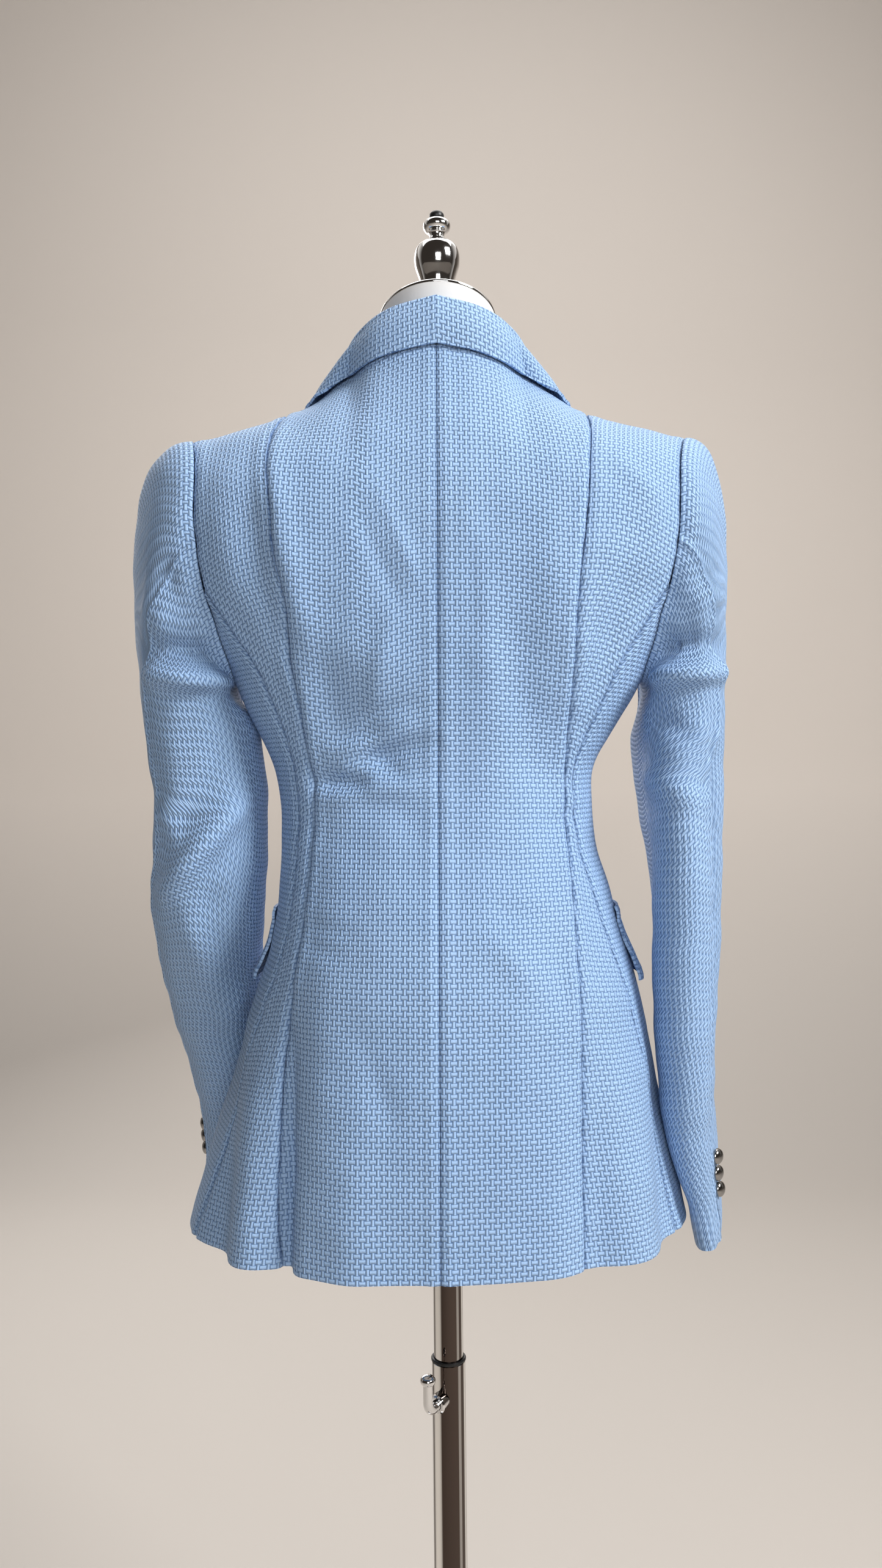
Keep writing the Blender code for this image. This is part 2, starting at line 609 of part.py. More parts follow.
def wall(name, outer, inner, finish, collection):
    rows, columns = outer.shape[:2]
    points = np.concatenate([outer.reshape(-1, 3), inner.reshape(-1, 3)])
    shift = rows * columns
    faces = []
    for j in range(rows - 1):
        for i in range(columns - 1):
            a = j * columns + i
            face = (a, a + 1, a + columns + 1, a + columns)
            faces.append(face)
            faces.append(tuple(shift + k for k in face[::-1]))
    edge = [i for i in range(columns)]
    edge += [j * columns + columns - 1 for j in range(1, rows)]
    edge += [(rows - 1) * columns + i for i in range(columns - 2, -1, -1)]
    edge += [j * columns for j in range(rows - 2, 0, -1)]
    for k, a in enumerate(edge):
        b = edge[(k + 1) % len(edge)]
        # along a seam both panels split the wall's edge the same way
        if b // columns > a // columns:
            faces += [(b, a, shift + b), (a, shift + a, shift + b)]
        elif b // columns < a // columns:
            faces += [(b, a, shift + a), (b, shift + a, shift + b)]
        else:
            faces.append((b, a, shift + a, shift + b))
    return add_object(name, points, faces, finish, collection)


def material(name, finish):
    colour, roughness, metallic = COLOURS[finish]
    made = bpy.data.materials.new(name)
    made.use_nodes = True
    shader = made.node_tree.nodes["Principled BSDF"]
    shader.inputs["Base Color"].default_value = (*colour, 1)
    shader.inputs["Roughness"].default_value = roughness
    shader.inputs["Metallic"].default_value = metallic
    return made


# Panels of the body

LOW_HEIGHTS = np.linspace(HEM_Z, PANEL_SPLIT_Z, 14)


def climb(split, end, steps):
    return np.linspace(split, end, steps + 1)[1:]


BACK_HEIGHTS = np.concatenate([
    LOW_HEIGHTS,
    climb(PANEL_SPLIT_Z, SIDE_TOP_BACK_Z, 4),
    [HIND_SEAM_Z, YOKE_Z],
    climb(YOKE_Z, SHOULDER, 5),
])
FRONT_HEIGHTS = np.concatenate([
    LOW_HEIGHTS,
    climb(PANEL_SPLIT_Z, SIDE_TOP_FRONT_Z, 4),
    climb(SIDE_TOP_FRONT_Z, YOKE_Z, 3),
    climb(YOKE_Z, SHOULDER, 5),
])


def princess_angle(side, height):
    return angle_at(side, read(PRINCESS, side, height), height, True)


def side_seam_angle(side, height):
    armhole = angle_at(side, read(BACK_ARMHOLE, side, height), height, True)
    seam = np.radians(read(SIDE_SEAM, "degrees", height))
    top = angle_at(side, read(BACK_ARMHOLE, side, SIDE_TOP_BACK_Z), SIDE_TOP_BACK_Z, True)
    last = SIDE_SEAM[-1].z
    share = ease((height - last) / (SIDE_TOP_BACK_Z - last))
    return np.where(height > SIDE_TOP_BACK_Z, armhole, seam + (top - seam) * share)


def front_seam_angle(side, height):
    armhole = angle_at(side, read(FRONT_ARMHOLE, side, height), height, False)
    top = angle_at(side, read(FRONT_ARMHOLE, side, SIDE_TOP_FRONT_Z), SIDE_TOP_FRONT_Z, False)
    seam = math.radians(FRONT_SEAM_TURN)
    share = ease((height - PANEL_SPLIT_Z) / (SIDE_TOP_FRONT_Z - PANEL_SPLIT_Z))
    return np.where(height > SIDE_TOP_FRONT_Z, armhole, seam + (top - seam) * share)


def roll_line(height):
    share = np.clip((height - BREAK_Z) / (SHOULDER - BREAK_Z), 0, 1)
    return -FRONT_EDGE + (ROLL_TOP + FRONT_EDGE) * share


def front_edge_angle(side, height):
    return angle_at(side, roll_line(height), height, False)


def side_top(share):
    # the bottom of the armhole, from the seam behind it to the seam in front
    back = np.clip(1 - 2 * share, 0, 1)
    front = np.clip(2 * share - 1, 0, 1)
    rise_back = (SIDE_TOP_BACK_Z - SIDE_TOP_LOW_Z) * back**2
    rise_front = (SIDE_TOP_FRONT_Z - SIDE_TOP_LOW_Z) * front**2
    return SIDE_TOP_LOW_Z + rise_back + rise_front


def levels_of(rows, angles):
    return np.repeat(rows[:, None], angles.shape[1], axis=1)


def seam_marks(side):
    # distances from the middle at which the columns of back, side back and front meet the top edge
    princess = float(read(PRINCESS, side, SHOULDER))
    inner = np.concatenate([np.linspace(0, ROLL_TOP, 4), np.linspace(ROLL_TOP, princess, 4)[1:]])
    outer = np.linspace(princess, float(read(BACK_ARMHOLE, side, SHOULDER)), 5)
    return inner, outer, np.concatenate([outer[::-1], inner[5:2:-1]])


def spread(side, first, last, marks, behind):
    turns = angle_at(side, marks, np.full_like(marks, SHOULDER), behind)
    share = (turns - turns[0]) / (turns[-1] - turns[0])
    return first[:, None] + (last - first)[:, None] * share


def body_panel(name, side, angles, heights, collection):
    outer, inner = body_layers(side, angles, heights)
    outer = drawn_in(outer)
    remember(name, side, outer)
    return wall(name, outer, drawn_in(inner), "cloth", collection)


def laid_panel(name, side, angles, heights, on, collection, lift=0.0, clear=LAID_CLEAR):
    outer, inner = body_layers(side, angles, heights, CLOTH + LAID_CLEAR + lift)
    outer, inner = laid(outer, inner, cover(on), np.full(outer.shape[:2], clear))
    remember(name, side, outer)
    return wall(name, outer, inner, "cloth", collection)


def side_grid(side, columns=5, upper_rows=4):
    share = np.linspace(0, 1, columns + 1)
    tops = side_top(share)
    upper = PANEL_SPLIT_Z + (tops - PANEL_SPLIT_Z) * np.linspace(0, 1, upper_rows + 1)[1:, None]
    heights = np.concatenate([np.repeat(LOW_HEIGHTS[:, None], columns + 1, axis=1), upper])
    first = side_seam_angle(side, heights)
    last = front_seam_angle(side, heights)
    return first + (last - first) * share, heights


def lapel_grid(side, columns=4, rows=11):
    low = BREAK_Z if side == "right" else LEFT_LAPEL_LOW_Z
    share = np.linspace(0, 1, columns + 1)
    tops = GORGE_INNER_Z + (GORGE_OUTER_Z - GORGE_INNER_Z) * share
    heights = low + (tops - low) * np.linspace(0, 1, rows + 1)[:, None]
    inner = roll_line(heights) + 0.0006
    if side == "left":  # below the crossing of the roll lines it ends at the edge of the right front
        inner = np.maximum(inner, 0.0018 - roll_line(heights))
    outer = np.maximum(read(LAPEL, "outer", heights), inner + 0.004)
    return angle_at(side, inner + (outer - inner) * share, heights, False), heights


def make_body(side, collection):
    inner_marks, outer_marks, front_marks = seam_marks(side)
    rows = BACK_HEIGHTS
    angles = spread(side, np.zeros(len(rows)), princess_angle(side, rows), inner_marks, True)
    body_panel(f"{side}_back", side, angles, levels_of(rows, angles), collection)
    angles = spread(side, princess_angle(side, rows), side_seam_angle(side, rows), outer_marks, True)
    body_panel(f"{side}_side_back", side, angles, levels_of(rows, angles), collection)
    angles, heights = side_grid(side)
    body_panel(f"{side}_side", side, angles, heights, collection)
    rows = FRONT_HEIGHTS
    angles = spread(side, front_seam_angle(side, rows), front_edge_angle(side, rows), front_marks, False)
    body_panel(f"{side}_front", side, angles, levels_of(rows, angles), collection)
    angles, heights = lapel_grid(side)
    lift = LAPEL_LOFT + LAPEL_ROLL * np.linspace(1, 0, angles.shape[1]) ** 2 * np.ones_like(angles)
    laid_panel(f"{side}_lapel", side, angles, heights, [f"{side}_front"], collection, lift, LAPEL_LOFT)


def make_pocket(side, collection):
    first, last = (math.radians(turn) for turn in POCKET_TURNS[side])
    turns = np.linspace(first, last, 10)
    on = [f"{side}_side_back", f"{side}_side", f"{side}_front"]
    angles, levels = np.meshgrid(turns, np.linspace(POCKET_TOP_Z, POCKET_TOP_Z - WELT_HEIGHT, 2))
    laid_panel(f"{side}_pocket_welt", side, angles, levels, on, collection, 0.0, WELT_LOFT)
    low = POCKET_TOP_Z - WELT_HEIGHT - GAP
    shares = np.linspace(0, 1, 4)
    angles, levels = np.meshgrid(turns, low - FLAP_HEIGHT * shares)
    lift = FLAP_LIFT * ease(shares)[:, None] * np.ones(len(turns))
    laid_panel(f"{side}_pocket_flap", side, angles, levels, on, collection, lift)


# Sleeves

Opening = namedtuple("Opening", "shares loop way hind fore")


def armhole(side):
    # the corners of the panels round the armhole: down the back, under the arm and up the front
    back_rows = BACK_HEIGHTS[BACK_HEIGHTS > SIDE_TOP_BACK_Z - 1e-6][::-1]
    angles, tops = side_grid(side)
    front_rows = FRONT_HEIGHTS[FRONT_HEIGHTS > SIDE_TOP_FRONT_Z - 1e-6]
    angle = np.concatenate([
        side_seam_angle(side, back_rows), angles[-1, 1:], front_seam_angle(side, front_rows)[1:]
    ])
    height = np.concatenate([back_rows, tops[-1, 1:], front_rows[1:]])
    loop = body(side, angle, height)
    way = -SIDES[side] * facing(lambda a, b: body(side, a, b), angle, height)
    length = np.concatenate([[0], np.cumsum(np.linalg.norm(np.diff(loop, axis=0), axis=1))])
    hind = int(np.argmin(np.abs(back_rows - HIND_SEAM_Z)))
    fore = len(back_rows) - 1 + FORE_COLUMN
    return Opening(length / length[-1], loop, way, hind, fore)


def arm_ring(side, turn, height):
    arm = {name: read(ARMS[side], name, height) for name in ("x", "y", "across", "deep", "turned")}
    step = 0.004
    lean_x = (read(ARMS[side], "x", height + step) - read(ARMS[side], "x", height - step)) / (2 * step)
    lean_y = (read(ARMS[side], "y", height + step) - read(ARMS[side], "y", height - step)) / (2 * step)
    way = unit(np.stack([SIDES[side] * lean_x, lean_y, np.ones_like(lean_x)], axis=-1))
    swing = np.radians(arm["turned"])
    outward = np.stack([SIDES[side] * np.cos(swing), np.sin(swing), np.zeros_like(swing)], axis=-1)
    outward = unit(outward - way * np.sum(outward * way, axis=-1, keepdims=True))
    backward = SIDES[side] * np.cross(way, outward)
    centre = np.stack([SIDES[side] * arm["x"], arm["y"], height + 0 * arm["x"]], axis=-1)
    blunt = 2 / (2 + ARM_BLUNT * (1 - arm["across"] / arm["deep"]))
    across = arm["across"] * signed_power(np.cos(turn), blunt)
    deep = arm["deep"] * signed_power(np.sin(turn), blunt)
    return centre + across[..., None] * outward + deep[..., None] * backward


def turn_at(side, share, height):
    opening = armholes[side]
    hind_share = opening.shares[opening.hind]
    fore_share = opening.shares[opening.fore]
    hind = read(ARMS[side], "hind", height)
    fore = read(ARMS[side], "fore", height)
    share = np.mod(share, 1.0)
    outside = hind * share / hind_share
    under = hind + (fore - hind) * (share - hind_share) / (fore_share - hind_share)
    before = fore + (360 - fore) * (share - fore_share) / (1 - fore_share)
    return np.radians(np.where(share < hind_share, outside, np.where(share < fore_share, under, before)))


def plain_sleeve(side, share, down):
    # down runs from 0 at the armhole to 1 below the cap and 2 at the cuff
    share, down = np.broadcast_arrays(np.asarray(share, float), np.asarray(down, float))
    height = ARM_TOP_Z + (CUFF_Z[side] - ARM_TOP_Z) * np.maximum(down - 1, 0)
    turn = turn_at(side, share, height)
    ring = arm_ring(side, turn, height)
    opening = armholes[side]
    at = np.mod(share, 1.0)
    start = np.stack([np.interp(at, opening.shares, opening.loop[:, k]) for k in range(3)], axis=-1)
    way = unit(np.stack([np.interp(at, opening.shares, opening.way[:, k]) for k in range(3)], axis=-1))
    leave = [read(CAPS[side], name, at) for name in ("out", "back", "up")]
    out = unit(np.stack([SIDES[side] * leave[0], leave[1], leave[2]], axis=-1))
    sunk = np.minimum(np.sum(out * way, axis=-1, keepdims=True), 0)
    out = unit(out - way * sunk)
    start = start + out * GAP + way * SLEEVE_PROUD
    below = arm_ring(side, turn, height - LEAN_STEP / 5)
    t = np.clip(down, -0.05, 1)[..., None]
    pull_out = out * read(CAPS[side], "start", at)[..., None]
    pull_down = unit(below - ring) * read(CAPS[side], "end", at)[..., None]
    cap = hermite(start, pull_out, ring, pull_down, t)
    return np.where(down[..., None] < 1, cap, ring)


def sleeve(side, share, down):
    place = plain_sleeve(side, share, down)
    way = SIDES[side] * facing(lambda a, b: plain_sleeve(side, a, b), share, down, 0.003, 0.003)
    turn = turn_at(side, share, np.full_like(place[..., 0], ARM_TOP_Z))
    behind = ease((np.sin(turn) - 0.3) * 2) * ease(down / CAP_FOLD_START)
    depth = behind * creases(SLEEVE_FOLDS[side], place[..., 0], place[..., 2])
    return place + way * depth[..., None]


def sleeve_layers(side, share, down):
    way = SIDES[side] * facing(lambda a, b: sleeve(side, a, b), share, down, 0.004, 0.004)
    outer = sleeve(side, share, down)
    return outer, outer - way * CLOTH


def sleeve_panel(name, side, columns, opens, collection):
    # columns start at the hind seam, whose lowest part is an open vent
    downs = np.concatenate([np.linspace(0, 1, 10)[:-1], np.linspace(1, 2, 13)])
    vent = VENT_LENGTH / (ARM_TOP_Z - CUFF_Z[side])
    part = VENT_OPEN * ease((downs - 2 + vent) / vent)
    fade = 1 - (columns - columns[0]) / (columns[-1] - columns[0])
    share = columns + opens * part[:, None] * fade
    down = np.repeat(downs[:, None], len(columns), axis=1)
    outer, inner = sleeve_layers(side, share, down)
    outer = drawn_in(outer)
    remember(name, side, outer, flip=opens > 0)
    wall(name, outer, drawn_in(inner), "cloth", collection)


def make_sleeve(side, collection):
    opening = armholes[side]
    shares = opening.shares
    over = np.concatenate([shares[opening.hind::-1], shares[-2:opening.fore - 1:-1] - 1])
    sleeve_panel(f"{side}_upper_sleeve", side, over, -1, collection)
    sleeve_panel(f"{side}_under_sleeve", side, shares[opening.hind:opening.fore + 1], 1, collection)


# Collar

def collar_lines(side, q):
    offset = np.array([float(sway(SHOULDER)), 0, 0])
    mirror = np.array([SIDES[side], 1, 1])
    seams = [np.array([row.seam_x, row.seam_y, row.seam_z + GAP]) * mirror + offset for row in COLLAR_BEHIND]
    folds = [np.array([row.fold_x, row.fold_y, row.fold_z]) * mirror + offset for row in COLLAR_BEHIND]
    for row in COLLAR_IN_FRONT:
        mark = np.array([row.mark])
        angle = angle_at(side, roll_line(mark), mark, False)
        edge, below = body_layers(side, angle, mark)
        way = (edge - below)[0] / CLOTH
        inward = np.array([-SIDES[side], 0, 0]) * COLLAR_NECK_GAP
        seams.append(edge[0] + inward)
        folds.append(edge[0] + inward / 2 + way * row.stand)
    knots = np.array([row.q for row in COLLAR_BEHIND + COLLAR_IN_FRONT])
    seam = np.array([smooth(knots, np.array(seams)[:, k], q) for k in range(3)])
    fold = np.array([smooth(knots, np.array(folds)[:, k], q) for k in range(3)])
    over = read(COLLAR_EDGE, "over", q)
    mark = np.array([SHOULDER - abs(over)])
    angle = angle_at(side, np.array([read(COLLAR_EDGE, "x", q)]), mark, over < 0)
    outer, below = body_layers(side, angle, mark, COLLAR_CLEAR)
    return seam, fold, outer[0], (outer - below)[0] / CLOTH


def collar_grid(leaf_steps=5, stand_steps=2):
    rows = []
    for value in np.linspace(-1, 1, 2 * COLLAR_ROWS + 1):
        seam, fold, edge, away = collar_lines("left" if value >= 0 else "right", abs(value))
        down = unit(seam - fold)
        outward = unit(edge - fold - down * np.dot(edge - fold, down))
        stand_top = fold + (down - outward) * COLLAR_FOLD_RADIUS
        leaf_top = fold + (down + outward) * COLLAR_FOLD_RADIUS
        points = [seam + (stand_top - seam) * t for t in np.linspace(0, 1, stand_steps + 1)]
        points.append(fold)
        for t in np.linspace(0, 1, leaf_steps + 1):
            points.append(leaf_top + (edge - leaf_top) * t + away * COLLAR_BELLY * math.sin(math.pi * t))
        rows.append(points)
    return np.array(rows)


def make_collar(collection):
    middle = collar_grid()
    on = [f"{side}_{panel}" for side in SIDES for panel in ("back", "side_back", "front")]
    q = np.abs(np.linspace(-1, 1, len(middle)))
    clear = COLLAR_CLEAR + COLLAR_RIDGE_CLEAR * np.exp(-((q - COLLAR_RIDGE_Q) / 0.12) ** 2)
    leaf = middle[:, 4:]
    middle[:, 4:], _ = laid(leaf, leaf, cover(on), clear[:, None] * np.ones(leaf.shape[:2]))
    way = unit(np.cross(np.gradient(middle, axis=0), np.gradient(middle, axis=1)))
    wall("collar", middle + way * CLOTH / 2, middle - way * CLOTH / 2, "cloth", collection)


# Buttons

def turned(name, profile, finish, collection, steps=24, hollow=False):
    # profile points run down the outer side; the screw turns them about local Z
    mesh = bpy.data.meshes.new(name)
    edges = [(i, i + 1) for i in range(len(profile) - 1)]
    if hollow:
        edges.append((len(profile) - 1, 0))
    mesh.from_pydata([(radius, 0, height) for radius, height in profile], edges, [])
    mesh.materials.append(material(name, finish))
    thing = bpy.data.objects.new(name, mesh)
    collection.objects.link(thing)
    screw = thing.modifiers.new("Turn", "SCREW")
    screw.steps = steps
    screw.render_steps = steps
    screw.use_merge_vertices = True
    screw.merge_threshold = 0.00005
    screw.use_smooth_shade = True
    return thing


def place(thing, at, way):
    thing.location = Vector([float(v) for v in at])
    thing.rotation_euler = Vector([float(v) for v in way]).to_track_quat("Z", "Y").to_euler()


def dome(radius, height):
    rim = radius * 0.98
    points = [(0.0, height)]
    for k in range(1, 4):
        turn = math.pi / 2 * k / 3
        points.append((rim * math.sin(turn), height * 0.35 + height * 0.65 * math.cos(turn)))
    points += [(radius, height * 0.22), (radius * 0.8, 0.0), (0.0, 0.0)]
    return points


def make_cuff_buttons(side, collection):
    opening = armholes[side]
    tree = cover([f"{side}_upper_sleeve"])
    drop = ARM_TOP_Z - CUFF_Z[side]
    vent = float(read(ARMS[side], "hind", CUFF_Z[side]))
    share = opening.shares[opening.hind] * (1 - CUFF_BUTTON_TURN / vent)
    for k in range(CUFF_BUTTONS):
        up = CUFF_BUTTON_LOW + CUFF_BUTTON_PITCH * (CUFF_BUTTONS - 1 - k)
        spot = sleeve(side, np.array([share]), np.array([2 - up / drop]))[0]
        near, normal, _, _ = tree.find_nearest(Vector([float(v) for v in spot]))
        profile = dome(BUTTON_RADIUS, BUTTON_HEIGHT)
        button = turned(f"{side}_cuff_button_{k + 1}", profile, "button", collection, 12)
        place(button, near + normal * CUFF_BUTTON_OFF, normal)


def make_front_button(collection):
    height = np.array([FRONT_BUTTON_Z])
    spot = body("right", angle_at("right", np.array([0.0]), height, False), height)[0]
    near, normal, _, _ = cover(["right_front"]).find_nearest(Vector([float(v) for v in spot]))
    profile = dome(FRONT_BUTTON_RADIUS, FRONT_BUTTON_HEIGHT)
    button = turned("front_button", profile, "button", collection, 18)
    place(button, near + normal * LAID_CLEAR, normal)


# Dress form

def form_turns(side):
    # from centre back round to centre front; each place in front lies before one behind
    x = np.linspace(0, FORM_PLATE_X, FORM_STEPS + 1)
    level = np.full_like(x, SHOULDER)
    plate = np.linspace(0, 1, FORM_PLATE_STEPS + 1)[1:]
    quarters = []
    for behind in (True, False):
        turns = angle_at(side, x, level, behind)
        quarters.append(np.concatenate([turns, turns[-1] + (math.pi / 2 - turns[-1]) * plate]))
    return np.concatenate([quarters[0], quarters[1][-2::-1]])


def form_ring(height):
    turns = np.concatenate([form_turns("left"), -form_turns("right")[-2:0:-1]])
    clear = CLOTH + float(read(FORM_CLEAR, "clear", height))
    points = []
    for turn in turns:
        side = "left" if turn >= 0 else "right"
        angle = np.array([abs(turn)])
        level = np.array([height])

        def surface(a, b):
            return plain_body(side, a, b, SHOULDER_SEAM)

        way = -SIDES[side] * facing(surface, angle, level)
        point = (surface(angle, level) - way * clear)[0]
        point[2] += (height - point[2]) * (1 - float(ease((height - FORM_LOW_Z) / FORM_LEVEL_SPAN)))
        points.append(point)
    return with_plates(np.array(points), sway(height))


def with_plates(ring, middle):
    # what lies beyond a plate becomes a straight run across it
    for sign in (1, -1):
        far = sign * (ring[:, 0] - middle) - FORM_PLATE_X
        centre = FORM_TURNS // 4 if sign > 0 else 3 * FORM_TURNS // 4
        if far[centre] <= 0:
            continue
        first = centre
        last = centre
        while far[first - 1] > 0:
            first -= 1
        while far[last + 1] > 0:
            last += 1
        start = ring[first] + (ring[first - 1] - ring[first]) * far[first] / (far[first] - far[first - 1])
        end = ring[last] + (ring[last + 1] - ring[last]) * far[last] / (far[last] - far[last + 1])
        share = np.linspace(0, 1, last - first + 1)[:, None]
        ring[first:last + 1] = start + (end - start) * share
    return ring


def turn_out(mesh):
    bm = bmesh.new()
    bm.from_mesh(mesh)
    bmesh.ops.remove_doubles(bm, verts=bm.verts, dist=0.00005)
    bmesh.ops.recalc_face_normals(bm, faces=bm.faces)
    if bm.calc_volume(signed=True) < 0:
        bmesh.ops.reverse_faces(bm, faces=bm.faces)
    bm.to_mesh(mesh)
    bm.free()


def as_tool(thing, name, tools):
    thing.name = name
    for owner in list(thing.users_collection):
        owner.objects.unlink(thing)
    tools.objects.link(thing)
    thing.hide_render = True
    thing.display_type = "WIRE"
    return thing


def make_form(collection, tools):
    mark_top = YOKE_Z + (SHOULDER - YOKE_Z) * FORM_TOP_SHARE
    heights = np.concatenate([np.linspace(FORM_LOW_Z, YOKE_Z, 12), np.linspace(YOKE_Z, mark_top, 7)[1:]])
    rings = [form_ring(float(height)) for height in heights]
    count = FORM_TURNS
    points = [point for ring in rings for point in ring]
    faces = []
    for j in range(len(rings) - 1):
        for i in range(count):
            a = j * count + i
            b = j * count + (i + 1) % count
            faces.append((a, b, b + count, a + count))
    faces.append(tuple(range(count))[::-1])
    top = (len(rings) - 1) * count
    # the strip along the top joins each place behind to the one in front, between two ends at the plates
    end = FORM_PLATE_STEPS + 1
    near = [count // 4 - end, count // 4 + end]
    faces.append(tuple(top + k for k in range(near[0], near[1] + 1)))
    for k in range(end, count // 2 - end):
        back = count // 4 + k
        front = count // 4 - k
        faces.append((top + back, top + back + 1, top + (front - 1) % count, top + front % count))
    far = [3 * count // 4 - end, 3 * count // 4 + end]
    faces.append(tuple(top + k for k in range(far[0], far[1] + 1)))
    form = add_object("dress_form", points, faces, "form", collection)
    turn_out(form.data)
    neck = make_neck(tools)
    union = form.modifiers.new("Neck", "BOOLEAN")
    union.operation = "UNION"
    union.object = neck


def make_neck(tools):
    heights = [ring.z for ring in NECK]
    tilt = math.tan(math.radians(CAP_TILT))
    points = []
    for j, height in enumerate(heights):
        share = ease(j / (len(heights) - 1))
        for k in range(NECK_SIDES):
            turn = 2 * math.pi * k / NECK_SIDES
            x = NECK[j].across * math.sin(turn)
            flatter = 1 - share * (1 - math.cos(math.radians(CAP_TILT)))
            y = NECK[j].y + NECK[j].deep * math.cos(turn) * flatter
            points.append((x, y, height + y * tilt * share))
    faces = []
    for j in range(len(heights) - 1):
        for k in range(NECK_SIDES):
            a = j * NECK_SIDES + k
            b = j * NECK_SIDES + (k + 1) % NECK_SIDES
            faces.append((a, b, b + NECK_SIDES, a + NECK_SIDES))
    faces.append(tuple(range(NECK_SIDES))[::-1])
    faces.append(tuple((len(heights) - 1) * NECK_SIDES + k for k in range(NECK_SIDES)))
    neck = add_object("neck_tool", [np.array(p) for p in points], faces, "form", tools)
    turn_out(neck.data)
    return as_tool(neck, "neck_tool", tools)


def make_neck_cap(collection):
    edge = CAP_THICK / 2
    profile = [(0.0, CAP_THICK + DOME_HEIGHT)]
    for k in range(1, 5):
        turn = math.pi / 2 * k / 4
        profile.append((DOME_RADIUS * math.sin(turn), CAP_THICK + DOME_HEIGHT * math.cos(turn)))
    profile.append((CAP_RADIUS - edge, CAP_THICK + 0.0004))
    for k in range(1, 5):
        turn = math.pi * k / 4
        profile.append((CAP_RADIUS - edge + edge * math.sin(turn), edge + edge * math.cos(turn)))
    profile.append((0.0, 0.0))
    cap = turned("neck_cap", profile, "chrome", collection, 28)
    tilt = math.radians(CAP_TILT)
    way = Vector((0, -math.sin(tilt), math.cos(tilt)))
    place(cap, Vector((0, 0, CAP_Z)) + way * GAP, way)


def make_finial(collection):
    profile = [(0.0, FINIAL[-1][1])] + list(FINIAL[::-1]) + [(0.0, FINIAL[0][1])]
    turned("finial", profile, "chrome", collection, 20)
    profile = [(0.0, KNOB[-1][1])] + list(KNOB[::-1]) + [(0.0, KNOB[0][1])]
    turned("finial_knob", profile, "black", collection, 12)


# Pole and foot

def make_pole(collection):
    top = FORM_LOW_Z - GAP
    inside = INNER_RADIUS - TUBE_WALL
    inner = [(inside, top), (FLANGE_RADIUS, top), (FLANGE_RADIUS, top - FLANGE_THICK / 2)]
    inner += [(SOCKET_TOP, top - FLANGE_THICK), (SOCKET_LOW, top - SOCKET_LENGTH)]
    inner.append((INNER_RADIUS, top - SOCKET_LENGTH - BEVEL))
    inner += [(INNER_RADIUS, INNER_LOW_Z), (inside, INNER_LOW_Z)]
    turned("inner_pole", inner, "chrome", collection, 24, hollow=True)
    inside = OUTER_RADIUS - TUBE_WALL
    outer = [(inside, OUTER_TOP_Z), (OUTER_RADIUS, OUTER_TOP_Z)]
    outer += [(OUTER_RADIUS, OUTER_LOW_Z), (inside, OUTER_LOW_Z)]
    turned("outer_pole", outer, "chrome", collection, 24, hollow=True)
    inside = INNER_RADIUS + GAP
    low = OUTER_TOP_Z + GAP
    ring = [(inside, low + RING_HEIGHT), (RING_RADIUS - EDGE, low + RING_HEIGHT)]
    ring += [(RING_RADIUS, low + RING_HEIGHT - EDGE), (RING_RADIUS, low + EDGE)]
    ring += [(RING_RADIUS - EDGE, low), (inside, low)]
    turned("pole_ring", ring, "black", collection, 24, hollow=True)
    profile = [(0.0, BASE_PROFILE[0][1])] + list(BASE_PROFILE) + [(0.0, 0.0)]
    turned("base", profile, "chrome", collection, 40)


